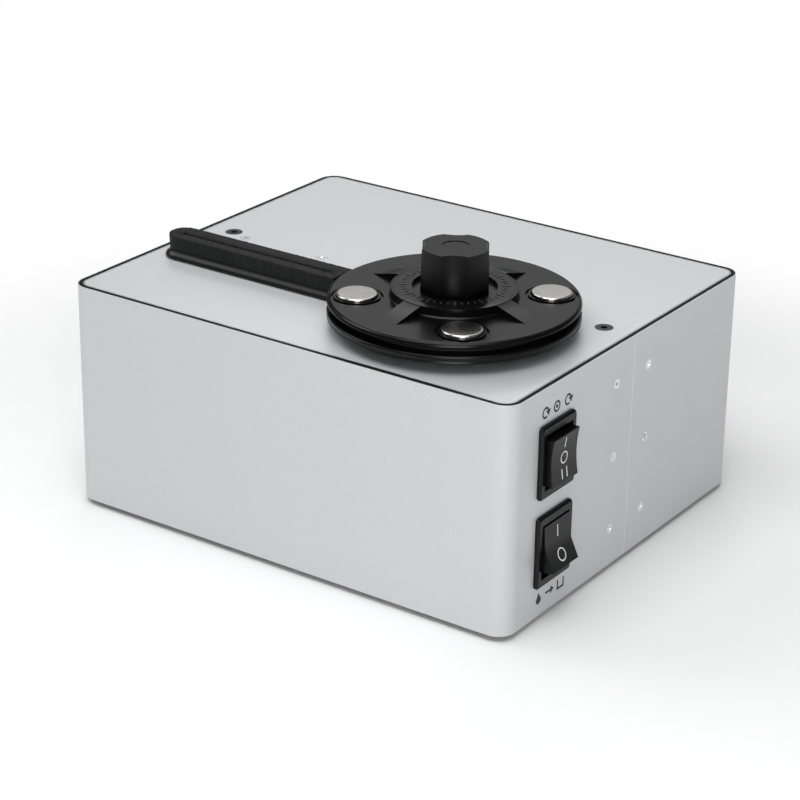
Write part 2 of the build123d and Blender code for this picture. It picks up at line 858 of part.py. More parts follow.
def clamp_seal():
    return at_platter(tube(mat_radius, seal_inner_radius, seal_under, clamp_under))


def clamp_plugs():
    seat = rim_plane - plug_seat_depth
    crown = rim_plane + plug_rise
    slope = 0.3 * plug_edge
    plug = turned((0, seat), (plug_radius, seat), (plug_radius, crown - plug_edge),
                  (plug_radius - slope, crown - slope), (plug_radius - plug_edge, crown), (0, crown))
    return group(at_platter(Pos(*on_circle(plug_circle, angle), 0) * plug) for angle in plug_angles)


def fluted_outline(radius):
    """Eight evenly spaced cusps with, in turn, a scooped flute and a gently rounded land between them."""
    chord_step = 360 / knob_cusps
    edges = []
    for side in range(knob_cusps):
        start = knob_cusp_angle + side * chord_step
        scooped = radius * cos(radians(chord_step / 2)) - knob_flute_depth
        middle = radius - knob_land_dip if side % 2 else scooped
        edges.append(ThreePointArc(on_circle(radius, start), on_circle(middle, start + chord_step / 2),
                                   on_circle(radius, start + chord_step)))
    return make_face(Wire(edges))


def clamp_knob():
    lower = Pos(0, 0, knob_under) * fluted_outline(knob_bottom_radius)
    upper = Pos(0, 0, knob_top) * fluted_outline(knob_top_radius)
    grip = loft([lower, upper])
    outside = knob_bottom_radius + 1
    grip &= turned((0, knob_under), (outside, knob_under), (outside, knob_top - knob_crown_height),
                   (knob_top_radius - knob_crown_inset, knob_top), (knob_dish_radius, knob_top),
                   (knob_dish_radius, knob_top - knob_dish_depth), (0, knob_top - knob_dish_depth))
    grip += rod(knob_stem_radius, knob_stem_under, knob_under)
    grip -= rod(insert_radius, knob_stem_under - 1, knob_under + insert_length)
    groove_floor = knob_stem_radius - retainer_groove
    groove = tube(knob_stem_radius + 1, groove_floor, retainer_under, retainer_top)
    return at_platter(grip - groove)


def knob_insert():
    return at_platter(tube(insert_radius, spindle_pin_radius + running_fit, knob_stem_under,
                           knob_under + insert_length - insert_end_gap))


def knob_retainer():
    bore = knob_stem_radius - retainer_groove + running_fit
    ring = tube(retainer_radius, bore, retainer_under, retainer_top)
    ring -= block(-retainer_slot / 2, retainer_slot / 2, -retainer_radius - 1, 0,
                  retainer_under - 1, retainer_top + 1)
    return at_platter(ring)


# ---- Rocker switches, drawn with the pivot at the origin, +X out of the panel and +Z up
def switch_body(height):
    face = rocker_pivot_depth
    panel = face - bezel_proud
    back = panel - switch_box_depth
    frame = extrude(Rot(0, 90, 0) * RectangleRounded(bezel_height, bezel_width, bezel_corner), bezel_proud)
    frame = chamfer(frame.edges().group_by(Axis.X)[-1], bezel_edge)
    body = Pos(panel, 0, 0) * frame
    body += block(back, panel + 1, -switch_box_width / 2, switch_box_width / 2,
                  -switch_box_height / 2, switch_box_height / 2)
    bay_half = rocker_width / 2 + rocker_fit
    body -= block(-rocker_bay_below, face + 1, -bay_half, bay_half,
                  -switch_bay_half_height, switch_bay_half_height)
    pin_reach = bay_half + rocker_pin_length
    body -= Rot(90, 0, 0) * rod(rocker_pin_radius + running_fit, -pin_reach, pin_reach)
    return Pos(rocker_pivot_x, switch_y, height) * body


def rocker_blank(profile):
    cap = extrude(Plane.XZ * make_face(profile), rocker_width / 2, both=True)
    pin_end = rocker_width / 2 + rocker_fit + rocker_pin_length - end_gap
    return cap + Rot(90, 0, 0) * rod(rocker_pin_radius, -pin_end, pin_end)


def rocker_underside(tip, half):
    """The hidden half of a rocker's side view, from its lower tip round to its upper one."""
    flank = half - rocker_taper
    return Polyline((tip, -half), (rocker_shoulder, -flank), (-rocker_root_depth, -rocker_root_half),
                    (-rocker_root_depth, rocker_root_half), (rocker_shoulder, flank), (tip, half))


def motor_rocker():
    """Hollow-faced rocker at its middle stop."""
    tip = rocker_pivot_depth + rocker_end_proud
    face = ThreePointArc((tip, motor_rocker_half), (rocker_pivot_depth + rocker_middle_proud, 0),
                         (tip, -motor_rocker_half))
    under = rocker_underside(tip, motor_rocker_half)
    cap = rocker_blank(Wire([face, *under.edges()]))
    return Pos(rocker_pivot_x, switch_y, motor_switch_z) * cap


def vacuum_rocker():
    """Two-position rocker with a shallow V face, its top half pressed in."""
    tip = rocker_pivot_depth + vacuum_end_proud
    middle = rocker_pivot_depth + vacuum_middle_proud
    face = Polyline((tip, vacuum_rocker_half), (middle, vacuum_ridge_half), (middle, -vacuum_ridge_half),
                    (tip, -vacuum_rocker_half))
    under = rocker_underside(tip, vacuum_rocker_half)
    cap = Rot(0, -vacuum_swing, 0) * rocker_blank(Wire([*face.edges(), *under.edges()]))
    return Pos(rocker_pivot_x, switch_y, vacuum_switch_z) * cap


def switch_terminals():
    back = width / 2 - switch_box_depth
    blades = []
    for height in (motor_switch_z, vacuum_switch_z):
        for column in (-terminal_column, terminal_column):
            for row in (-terminal_row, 0, terminal_row):
                blades.append(block(back - terminal_length, back,
                                    switch_y + column - terminal_width / 2,
                                    switch_y + column + terminal_width / 2,
                                    height + row - terminal_thickness / 2,
                                    height + row + terminal_thickness / 2))
    return group(blades)


# ---- Waste tank and hoses
def tank_prism(inset, z_low, z_high):
    size_x, size_y = tank_right - tank_left, tank_back - tank_front
    prism = rounded_prism(size_x - 2 * inset, size_y - 2 * inset, tank_corner - inset, z_low, z_high)
    return Pos((tank_left + tank_right) / 2, (tank_front + tank_back) / 2, 0) * prism


def tank():
    body = tank_prism(0, tank_under, tank_rim)
    hollow = tank_prism(tank_wall, tank_under + tank_wall, tank_rim + 1)
    body += facing_right(rod(suction_spigot_radius, 0, spigot_length + 1), tank_right - 1,
                         turbine_behind, turbine_height)
    hollow += facing_right(rod(suction_spigot_radius - spigot_wall, 0, 2 * spigot_length),
                           tank_right - spigot_length / 2, turbine_behind, turbine_height)
    rear_spigots = ((arm_spigot_radius, arm_port_x, arm_port_z), (drain_spigot_radius, drain_x, drain_z))
    for radius, x, z in rear_spigots:
        body += facing_back(rod(radius, 0, spigot_length + 1), x, tank_back - 1, z)
        hollow += facing_back(rod(radius - spigot_wall, 0, 2 * spigot_length), x,
                              tank_back - spigot_length / 2, z)
    body -= hollow
    for x in (tank_left + skid_from_left, tank_right - skid_from_right):
        body += block(x, x + skid_width, tank_front + skid_inset, tank_back - skid_inset,
                      base_top, tank_under)
    return body


def tank_lid():
    lip = tank_wall + plate_fit
    lid = tank_prism(0, tank_rim, tank_lid_top) + tank_prism(lip, tank_rim - lid_lip_height, tank_rim)
    lid -= tank_prism(lip + lid_lip_width, tank_rim - lid_lip_height - 1, tank_rim)
    for x in tank_screw_xs:
        lid += rod(lid_boss_radius, tank_lid_top - 1, deck_under, x, tank_screw_behind)
        lid -= rod(tank_screw_shank / 2 + screw_fit, tank_lid_top - 1, deck_under + 1, x, tank_screw_behind)
    return lid


def suction_hose():
    run = tube(suction_spigot_radius + hose_fit + hose_wall, suction_spigot_radius + hose_fit, 0,
               turbine_start - tank_right - 2 * hose_end_gap)
    return facing_right(run, tank_right + hose_end_gap, turbine_behind, turbine_height)


def arm_hose():
    start = tank_back + hose_end_gap
    end = inner_y + arm_port_shoulder - port_step - hose_end_gap
    run = tube(arm_spigot_radius + hose_fit + hose_wall, arm_spigot_radius + hose_fit, 0, end - start)
    return facing_back(run, arm_port_x, start, arm_port_z)


def drain_hose():
    start = tank_back + hose_end_gap
    end = inner_y - drain_nut_thickness - hose_end_gap
    run = tube(drain_spigot_radius + hose_fit + hose_wall, drain_spigot_radius + hose_fit, 0, end - start)
    return facing_back(run, drain_x, start, drain_z)


# ---- Vacuum turbine, its axis along X
def at_turbine(shape, x):
    return facing_right(shape, x, turbine_behind, turbine_height)


def turbine_case():
    duct_end = inner_y - duct_gap
    outlet_top = outlet_under + outlet_height
    spigot_bore = suction_spigot_radius - spigot_wall
    outside = at_turbine(rod(fan_radius, 0, fan_width), turbine_start)
    outside += at_turbine(rod(suction_spigot_radius, -turbine_spigot_length, 1), turbine_start)
    outside += block(turbine_start, fan_end, turbine_behind, duct_end, outlet_under, outlet_top)
    inside = at_turbine(rod(fan_radius - fan_wall, fan_wall, fan_width - fan_wall), turbine_start)
    inside += at_turbine(rod(spigot_bore, -turbine_spigot_length - 1, fan_wall + 1), turbine_start)
    inside += block(turbine_start + fan_wall, fan_end - fan_wall, turbine_behind, duct_end + 1,
                    outlet_under + fan_wall, outlet_top - fan_wall)
    inside += at_turbine(rod(turbine_shaft_radius + case_shaft_gap, fan_width - fan_wall - 1, fan_width + 1),
                         turbine_start)
    return outside - inside


def impeller():
    front = fan_wall + fan_gap
    back = fan_width - fan_wall - fan_gap
    hub = turbine_shaft_radius + impeller_hub_wall
    wheel = turned((turbine_shaft_radius, front), (hub, front), (impeller_shoulder_radius, back),
                   (impeller_radius, back), (impeller_radius, back + impeller_plate),
                   (turbine_shaft_radius, back + impeller_plate))
    arc = ThreePointArc((impeller_eye_radius, 0), ((impeller_eye_radius + impeller_radius) / 2, -blade_sweep),
                        (impeller_radius - blade_edge_gap, blade_lead))
    blade = extrude(Pos(0, 0, back - blade_height) * make_face(offset(arc, blade_thickness / 2)),
                    blade_height + impeller_plate / 2)
    for step in range(impeller_blades):
        wheel += Rot(0, 0, step * 360 / impeller_blades) * blade
    return at_turbine(wheel, turbine_start)


def turbine_shaft():
    return at_turbine(rod(turbine_shaft_radius, fan_wall + turbine_shaft_start,
                          fan_width + turbine_shaft_engagement), turbine_start)


def turbine_motor():
    bore = turbine_shaft_radius + running_fit
    bore_end = turbine_shaft_engagement + screw_beyond
    cap_end = turbine_motor_length + end_cap_length
    can = turned((bore, 0), (turbine_motor_radius, 0),
                 (turbine_motor_radius, turbine_motor_length - turbine_motor_edge),
                 (turbine_motor_radius - turbine_motor_edge, turbine_motor_length),
                 (end_cap_radius, turbine_motor_length), (end_cap_radius, cap_end), (0, cap_end),
                 (0, bore_end), (bore, bore_end))
    return at_turbine(can, fan_end)


def turbine_bracket():
    """Folded cradle: a floor and two uprights hollowed to the motor can."""
    front, rear = turbine_behind - cradle_width / 2, turbine_behind + cradle_width / 2
    near, far = fan_end + cradle_from_fan, turbine_motor_end - cradle_from_end
    frame = block(near, far, front, rear, base_top, base_top + cradle_sheet)
    for x in (near, far - cradle_sheet):
        frame += block(x, x + cradle_sheet, front, rear, base_top, turbine_height)
    return frame - at_turbine(rod(turbine_motor_radius + running_fit, 0, turbine_motor_length), fan_end)


# ---- Rear fittings
def rear_screw_places(fitting):
    """x and z of the screws that hold one rear fitting."""
    if fitting == "arm_port":
        for angle in (90, 210, 330):
            x, z = on_circle(port_screw_circle, angle)
            yield arm_port_x + x, arm_port_z + z
    for side in (-1, 1):
        if fitting == "inlet":
            yield inlet_x + side * inlet_screw_pitch / 2, inlet_z
        if fitting == "grille":
            yield grille_x + side * (grille_width / 2 - grille_screw_inset), grille_z


def rear_fasteners(shape, fitting):
    """Copies of flat_screw or flat_hole at the screw places of one rear fitting."""
    head, shank, proud = rear_screw_sizes[fitting]
    piece = shape(head, shank, rear_screw_length)
    return [facing_back(piece, x, depth / 2 + proud, z) for x, z in rear_screw_places(fitting)]


def rear_screws():
    return group(screw for fitting in rear_screw_sizes for screw in rear_fasteners(flat_screw, fitting))


def arm_port():
    outer = arm_port_bore + spigot_wall
    spigot_bore = arm_spigot_radius - spigot_wall
    step = arm_port_shoulder - port_step
    tail = step - spigot_length
    face = sheet + arm_port_flange
    body = turned((spigot_bore, tail), (arm_spigot_radius, tail), (arm_spigot_radius, step), (outer, step),
                  (outer, sheet), (arm_port_flange_radius, sheet),
                  (arm_port_flange_radius, face - fitting_edge),
                  (arm_port_flange_radius - fitting_edge, face), (arm_port_collar_radius, face),
                  (arm_port_collar_radius, arm_port_mouth - mouth_edge),
                  (arm_port_collar_radius - mouth_edge, arm_port_mouth), (arm_port_bore, arm_port_mouth),
                  (arm_port_bore, arm_port_shoulder), (spigot_bore, arm_port_shoulder))
    return facing_back(body, arm_port_x, inner_y, arm_port_z) - rear_fasteners(flat_hole, "arm_port")


def drain_spout():
    bore = drain_plug_radius + running_fit
    spigot_bore = drain_spigot_radius - spigot_wall
    body = tube(drain_spout_radius, bore, -drain_nut_thickness, sheet + drain_spout_reach)
    body += tube(drain_spigot_radius, spigot_bore, -drain_nut_thickness - spigot_length, -drain_nut_thickness)
    body += tube(drain_nut_radius, bore, sheet, sheet + drain_flange)
    body -= rod(spigot_bore, -drain_nut_thickness - 1, -drain_nut_thickness + 1)
    nut = extrude(Pos(0, 0, -drain_nut_thickness) * RegularPolygon(drain_nut_radius, 6), drain_nut_thickness)
    nut -= rod(drain_spout_radius, -drain_nut_thickness - 1, 1)
    return group(facing_back(shape, drain_x, inner_y, drain_z) for shape in (body, nut))


def drain_plug():
    mouth = sheet + drain_spout_reach
    tip, head_end = mouth - drain_plug_length, mouth + drain_plug_head_length
    plug = turned((0, tip), (drain_plug_radius - drain_plug_lead / 2, tip),
                  (drain_plug_radius, tip + drain_plug_lead), (drain_plug_radius, mouth + body_gap),
                  (drain_plug_head, mouth + body_gap), (drain_plug_head, head_end - fitting_edge),
                  (drain_plug_head - fitting_edge, head_end), (0, head_end))
    return facing_back(plug, drain_x, inner_y, drain_z)


def inlet_opening():
    """The three-pin socket's hollow, its two top corners cut off."""
    half_w, half_h, cut = inlet_cavity_width / 2, inlet_cavity_height / 2, inlet_cavity_cut
    return make_face(Polyline((-half_w, -half_h), (half_w, -half_h), (half_w, half_h - cut),
                              (half_w - cut, half_h), (cut - half_w, half_h), (-half_w, half_h - cut),
                              close=True))


def power_inlet():
    face = depth / 2 + inlet_flange
    flange = extrude(RectangleRounded(inlet_flange_width, inlet_flange_height, fitting_corner), inlet_flange)
    body = facing_back(flange, inlet_x, depth / 2, inlet_z)
    body += block(inlet_x - inlet_body_width / 2, inlet_x + inlet_body_width / 2,
                  face - inlet_body_depth, depth / 2 + 1,
                  inlet_z - inlet_body_height / 2, inlet_z + inlet_body_height / 2)
    hollow = extrude(Plane.XZ * inlet_opening(), inlet_cavity_depth + 1)
    body -= Pos(inlet_x, face + 1, socket_z) * hollow
    body -= block(inlet_x - fuse_width / 2 - fuse_fit, inlet_x + fuse_width / 2 + fuse_fit,
                  face - fuse_depth - fuse_fit, face + 1,
                  fuse_z - fuse_height / 2 - fuse_fit, fuse_z + fuse_height / 2 + fuse_fit)
    return body - rear_fasteners(flat_hole, "inlet")


def inlet_pins():
    floor = depth / 2 + inlet_flange - inlet_cavity_depth
    pins = []
    for side in (-1, 0, 1):
        x = inlet_x + side * inlet_pin_pitch
        z = socket_z - inlet_pin_drop if side else socket_z + inlet_pin_drop
        pins.append(block(x - inlet_pin_width / 2, x + inlet_pin_width / 2, floor, floor + inlet_pin_length,
                          z - inlet_pin_height / 2, z + inlet_pin_height / 2))
    return group(pins)


def fuse_drawer():
    face = depth / 2 + inlet_flange
    left, right = inlet_x - fuse_width / 2, inlet_x + fuse_width / 2
    floor = fuse_z - fuse_height / 2
    tray = block(left, right, face - fuse_depth, face + fuse_lip, floor, floor + fuse_height)
    return tray - block(left + fuse_wall, right - fuse_wall, face - fuse_depth + fuse_wall,
                        face - fuse_front_wall, floor + fuse_floor, floor + fuse_height + 1)


def exhaust_grille():
    inner_w = grille_width - 2 * grille_border
    inner_h = grille_height - 2 * grille_border
    flange = extrude(RectangleRounded(grille_width, grille_height, fitting_corner), grille_proud)
    body = facing_back(flange, grille_x, depth / 2, grille_z)
    body += block(grille_x - inner_w / 2, grille_x + inner_w / 2, inner_y, depth / 2 + 1,
                  grille_z - inner_h / 2, grille_z + inner_h / 2)
    slot_half = inner_h / 2 - grille_slot_inset
    for step in range(grille_slots):
        x = grille_x + (step - (grille_slots - 1) / 2) * inner_w / grille_slots
        body -= block(x - grille_slot / 2, x + grille_slot / 2, inner_y - 1, depth / 2 + grille_proud + 1,
                      grille_z - slot_half, grille_z + slot_half)
    return body - rear_fasteners(flat_hole, "grille")


# ---- Electrics
def run_capacitor():
    clip = tube(capacitor_radius + clip_sheet, capacitor_radius, base_top, base_top + clip_height)
    can = rod(capacitor_radius, base_top, base_top + capacitor_height)
    return Pos(capacitor_x, capacitor_y, 0) * group([can, clip])


def terminal_board():
    under = base_top + board_lift
    top = under + board_thickness
    board = block(board_x - board_width / 2, board_x + board_width / 2,
                  board_behind - board_depth / 2, board_behind + board_depth / 2, under, top)
    pillar_x, pillar_y = board_width / 2 - board_pillar_inset, board_depth / 2 - board_pillar_inset
    for side in (-1, 1):
        for end in (-1, 1):
            board += rod(board_pillar_radius, base_top, under, board_x + side * pillar_x,
                         board_behind + end * pillar_y)
    row = board_behind - terminal_block_offset
    board += block(board_x - terminal_block_length / 2, board_x + terminal_block_length / 2,
                   row - terminal_block_width / 2, row + terminal_block_width / 2,
                   top, top + terminal_block_height)
    return board


# ---- Wash brush
def at_brush(shape):
    middle = brush_left + brush_length / 2
    return Pos(middle, platter_y + brush_off_centre, panel_top + brush_lift_gap) * shape


def brush_outline(inset, height):
    """The brush seen from above: round at its left end, square beside the platter."""
    half = brush_width / 2 - inset
    round_x = (brush_width - brush_length) / 2
    end_x = brush_length / 2 - inset
    sides = Polyline((round_x, -half), (end_x, -half), (end_x, half), (round_x, half))
    left_end = ThreePointArc((round_x, half), (round_x - half, 0), (round_x, -half))
    return Pos(0, 0, height) * make_face(Wire([*sides.edges(), left_end]))


def brush_body():
    """A lipped foot that draws in to a waist under the hair."""
    body = extrude(brush_outline(0, 0), brush_lip_height)
    body = fillet(body.edges().group_by(Axis.Z)[0], brush_bottom_round)
    shoulder = brush_outline(brush_shoulder_inset, brush_shoulder_height)
    body += loft([brush_outline(0, brush_lip_height), shoulder])
    body += loft([shoulder, brush_outline(brush_waist_inset, brush_base_height)])
    return at_brush(body)


def brush_bristles():
    hair = brush_outline(brush_hair_inset, 0)
    parting = Box(brush_length - brush_width, brush_parting, brush_hair_height, align=low)
    tuft = extrude(hair, brush_hair_height) - Pos(0, 0, brush_hair_height - brush_parting_depth) * parting
    return at_brush(Pos(0, 0, brush_base_height) * tuft)


# ---- All pieces
def make_parts():
    front_skins, front_core = wrap(-1)
    rear_skins, rear_core = wrap(1)
    deck_skins, deck_core = deck()
    return {
        "front_wrap_skins": front_skins,
        "front_wrap_core": front_core,
        "rear_wrap_skins": rear_skins,
        "rear_wrap_core": rear_core,
        "top_plate_skins": deck_skins,
        "top_plate_core": deck_core,
        "base_plate": base(),
        "panel_rails": panel_rails(),
        "seam_brackets": group([seam_bracket(-1), seam_bracket(1)]),
        "seam_screws": seam_screws(),
        "deck_screws": deck_screws(),
        "tank_screws": tank_screws(),
        "base_screws": base_screws(),
        "feet": feet(),
        "motor_switch_body": switch_body(motor_switch_z),
        "motor_rocker": motor_rocker(),
        "vacuum_switch_body": switch_body(vacuum_switch_z),
        "vacuum_rocker": vacuum_rocker(),
        "switch_terminals": switch_terminals(),
        "bearing_flange": bearing_flange(),
        "bearing_bush": bearing_bush(),
        "drive_screws": drive_screws(),
        "motor_plate": motor_plate(),
        "motor_standoffs": motor_standoffs(),
        "gearbox": gearbox(),
        "gear_motor": gear_motor(),
        "output_shaft": output_shaft(),
        "drive_coupling": drive_coupling(),
        "spindle": spindle(),
        "platter": platter(),
        "platter_mat": platter_mat(),
        "clamp_disc": clamp_disc(),
        "clamp_seal": clamp_seal(),
        "clamp_plugs": clamp_plugs(),
        "clamp_knob": clamp_knob(),
        "knob_insert": knob_insert(),
        "knob_retainer": knob_retainer(),
        "turbine_case": turbine_case(),
        "impeller": impeller(),
        "turbine_shaft": turbine_shaft(),
        "turbine_motor": turbine_motor(),
        "turbine_bracket": turbine_bracket(),
        "suction_hose": suction_hose(),
        "tank": tank(),
        "tank_lid": tank_lid(),
        "arm_port": arm_port(),
        "arm_hose": arm_hose(),
        "drain_spout": drain_spout(),
        "drain_hose": drain_hose(),
        "drain_plug": drain_plug(),
        "exhaust_grille": exhaust_grille(),
        "power_inlet": power_inlet(),
        "inlet_pins": inlet_pins(),
        "fuse_drawer": fuse_drawer(),
        "rear_screws": rear_screws(),
        "run_capacitor": run_capacitor(),
        "terminal_board": terminal_board(),
        "brush_body": brush_body(),
        "brush_bristles": brush_bristles(),
    }


os.makedirs("parts", exist_ok=True)
for node, shape in make_parts().items():
    export_step(Pos(*centre_shift) * shape, f"parts/{node}.step")
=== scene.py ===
import json
import math
import random
import bpy
from mathutils import Matrix, Vector


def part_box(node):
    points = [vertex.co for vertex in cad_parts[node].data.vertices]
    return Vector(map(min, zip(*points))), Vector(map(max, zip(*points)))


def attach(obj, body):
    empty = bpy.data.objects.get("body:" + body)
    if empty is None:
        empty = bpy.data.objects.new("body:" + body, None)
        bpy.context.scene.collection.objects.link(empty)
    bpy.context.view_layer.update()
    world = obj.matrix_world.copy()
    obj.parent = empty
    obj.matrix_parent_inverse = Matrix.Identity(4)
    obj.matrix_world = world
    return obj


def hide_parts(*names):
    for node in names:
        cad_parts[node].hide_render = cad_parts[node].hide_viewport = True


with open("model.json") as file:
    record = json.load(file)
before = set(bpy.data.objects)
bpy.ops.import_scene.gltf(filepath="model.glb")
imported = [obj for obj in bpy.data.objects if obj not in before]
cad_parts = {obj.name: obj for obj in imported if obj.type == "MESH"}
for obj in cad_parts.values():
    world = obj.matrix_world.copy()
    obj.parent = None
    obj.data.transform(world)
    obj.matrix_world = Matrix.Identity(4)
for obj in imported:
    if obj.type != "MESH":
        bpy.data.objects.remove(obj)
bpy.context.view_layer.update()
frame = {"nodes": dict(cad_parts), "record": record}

mm = 0.001
nodeBody = {node: body for body, nodes in frame["record"]["behaviour"]["bodies"].items() for node in nodes}
print("frame loaded:", len(frame["nodes"]), "CAD nodes")


# Selecting, picking and finishing pieces
def pick(piece):
    if bpy.context.mode != "OBJECT":
        bpy.ops.object.mode_set(mode="OBJECT")
    bpy.ops.object.select_all(action="DESELECT")
    piece.select_set(True)
    bpy.context.view_layer.objects.active = piece


def added(name):
    piece = bpy.context.active_object  # the primitive that was just added
    piece.name = name
    piece.data.name = name
    pick(piece)
    bpy.ops.object.transform_apply(location=True, rotation=True, scale=True)
    return piece


def selectFaces(piece, test):
    pick(piece)
    bpy.ops.object.mode_set(mode="EDIT")
    bpy.ops.mesh.select_mode(type="FACE")
    bpy.ops.mesh.select_all(action="DESELECT")
    bpy.ops.object.mode_set(mode="OBJECT")
    for face in piece.data.polygons:
        face.select = test(face)
    bpy.ops.object.mode_set(mode="EDIT")


def applyModifiers(piece):
    pick(piece)
    for modifier in list(piece.modifiers):
        bpy.ops.object.modifier_apply(modifier=modifier.name)


def finishPiece(piece, material, body, smoothAngle=32, replaced=()):
    applyModifiers(piece)
    piece.data.materials.clear()
    piece.data.materials.append(material)
    bpy.ops.object.shade_smooth_by_angle(angle=math.radians(smoothAngle))
    weighted = piece.modifiers.new("flatFacesStayFlat", "WEIGHTED_NORMAL")
    weighted.keep_sharp = True
    applyModifiers(piece)
    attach(piece, body)
    if replaced:
        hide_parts(*replaced)
    return piece


def joined(pieces, name):
    pick(pieces[0])
    for piece in pieces:
        piece.select_set(True)
    bpy.ops.object.join()
    result = bpy.context.active_object
    result.name = name
    result.data.name = name
    return result


# Materials
def toLinear(hexColour):
    parts = [int(hexColour[i:i + 2], 16) / 255 for i in (1, 3, 5)]
    return [p / 12.92 if p <= 0.04045 else ((p + 0.055) / 1.055) ** 2.4 for p in parts] + [1.0]


def addNode(tree, kind, settings=None, links=None):
    node = tree.nodes.new(kind)
    for key, value in (settings or {}).items():
        if isinstance(key, int) or key in node.inputs:
            node.inputs[key].default_value = value
        else:
            setattr(node, key, value)
    for key, source in (links or {}).items():
        tree.links.new(source, node.inputs[key])
    return node


def newMaterial(name, settings):
    material = bpy.data.materials.new(name)
    material.use_nodes = True
    tree = material.node_tree
    shader = tree.nodes["Principled BSDF"]
    for key, value in settings.items():
        shader.inputs[key].default_value = value
    return material, tree, shader


def addTone(tree, shader, factor, low, high):
    ramp = addNode(tree, "ShaderNodeValToRGB", None, {"Fac": factor})
    ramp.color_ramp.elements[0].color = toLinear(low)
    ramp.color_ramp.elements[1].color = toLinear(high)
    tree.links.new(ramp.outputs["Color"], shader.inputs["Base Color"])
    return ramp


def addRoughness(tree, shader, factor, low, high):
    mapped = addNode(tree, "ShaderNodeMapRange", {"To Min": low, "To Max": high}, {"Value": factor})
    tree.links.new(mapped.outputs["Result"], shader.inputs["Roughness"])


def addBump(tree, shader, height, depth):
    bump = addNode(tree, "ShaderNodeBump", {"Distance": depth * mm, "Strength": 1.0}, {"Height": height})
    tree.links.new(bump.outputs["Normal"], shader.inputs["Normal"])


def stretchedNoise(tree, place, grain, stretch, detail=2.0):
    # grain is the size of one feature in millimetres, stretch how much longer it is along each axis
    scale = [1 / (grain * mm * s) for s in stretch]
    mapping = addNode(tree, "ShaderNodeMapping", {"Scale": scale}, {"Vector": place})
    return addNode(tree, "ShaderNodeTexNoise", {"Scale": 1.0, "Detail": detail},
                   {"Vector": mapping.outputs["Vector"]})


def objectPlace(tree):
    return addNode(tree, "ShaderNodeTexCoord").outputs["Object"]


def makeLacqueredSheet():
    # aluminium composite sheet, silver lacquer: satin, with fine metal flake and a faint rolled grain
    values = {"flake": 0.7, "rolled": 1.4, "base": "#c6c9ca", "bright": "#d2d5d6",
              "metallic": 0.3, "roughLow": 0.36, "roughHigh": 0.46}
    material, tree, shader = newMaterial("lacqueredAluminiumSheet", {"Metallic": values["metallic"]})
    place = objectPlace(tree)
    flake = stretchedNoise(tree, place, values["flake"], (1, 1, 1), 1.0)
    rolled = stretchedNoise(tree, place, values["rolled"], (12, 12, 0.6), 2.0)
    mixed = addNode(tree, "ShaderNodeMix", {"data_type": "FLOAT", "Factor": 0.25},
                    {"A": flake.outputs["Fac"], "B": rolled.outputs["Fac"]})
    addTone(tree, shader, mixed.outputs["Result"], values["base"], values["bright"])
    addRoughness(tree, shader, flake.outputs["Fac"], values["roughLow"], values["roughHigh"])
    addBump(tree, shader, flake.outputs["Fac"], 0.006)
    return material


def makeMoulded(name, low, high, roughness, grain=0.9, depth=0.012, gloss=0.5):
    # injection-moulded plastic: an even satin with the fine orange-peel of a sparked mould
    material, tree, shader = newMaterial(name, {"IOR": 1.5, "Specular IOR Level": gloss})
    place = objectPlace(tree)
    peel = stretchedNoise(tree, place, grain, (1, 1, 1), 3.0)
    wear = stretchedNoise(tree, place, 14.0, (1, 1, 1), 4.0)
    addTone(tree, shader, wear.outputs["Fac"], low, high)
    addRoughness(tree, shader, wear.outputs["Fac"], roughness - 0.04, roughness + 0.05)
    addBump(tree, shader, peel.outputs["Fac"], depth)
    return material


def makeMetal(name, low, high, roughness, grain=0.35, stretch=(1, 1, 1), depth=0.004):
    # bare or plated metal: sharp reflections broken by the grain that its working leaves
    material, tree, shader = newMaterial(name, {"Metallic": 1.0})
    place = objectPlace(tree)
    worked = stretchedNoise(tree, place, grain, stretch, 3.0)
    cloud = stretchedNoise(tree, place, 9.0, (1, 1, 1), 3.0)
    addTone(tree, shader, cloud.outputs["Fac"], low, high)
    addRoughness(tree, shader, worked.outputs["Fac"], roughness - 0.06, roughness + 0.08)
    addBump(tree, shader, worked.outputs["Fac"], depth)
    return material


def makeTurnedSteel(centres):
    # satin stainless steel faced on a lathe: fine rings round the middle of each plug
    values = {"pitch": 0.45, "low": "#bdbbb9", "high": "#d2d0ce", "roughLow": 0.12, "roughHigh": 0.2}
    material, tree, shader = newMaterial("facedStainlessSteel", {"Metallic": 1.0})
    place = objectPlace(tree)
    nearest = None
    for x, y in centres:
        shifted = addNode(tree, "ShaderNodeVectorMath", {"operation": "SUBTRACT", 1: (x, y, 0)}, {0: place})
        flat = addNode(tree, "ShaderNodeVectorMath", {"operation": "MULTIPLY", 1: (1, 1, 0)},
                       {0: shifted.outputs["Vector"]})
        reach = addNode(tree, "ShaderNodeVectorMath", {"operation": "LENGTH"}, {0: flat.outputs["Vector"]})
        radius = reach.outputs["Value"]
        if nearest is not None:
            radius = addNode(tree, "ShaderNodeMath", {"operation": "MINIMUM"},
                             {0: nearest, 1: radius}).outputs["Value"]
        nearest = radius
    turns = addNode(tree, "ShaderNodeMath",
                    {"operation": "MULTIPLY", 1: 2 * math.pi / (values["pitch"] * mm)}, {0: nearest})
    wave = addNode(tree, "ShaderNodeMath", {"operation": "SINE"}, {0: turns.outputs["Value"]})
    ring = addNode(tree, "ShaderNodeMapRange", {"From Min": -1.0, "From Max": 1.0},
                   {"Value": wave.outputs["Value"]})
    cloud = stretchedNoise(tree, place, 5.0, (1, 1, 1), 3.0)
    addTone(tree, shader, cloud.outputs["Fac"], values["low"], values["high"])
    addRoughness(tree, shader, ring.outputs["Result"], values["roughLow"], values["roughHigh"])
    addBump(tree, shader, ring.outputs["Result"], 0.002)
    return material


lacqueredSheet = makeLacqueredSheet()
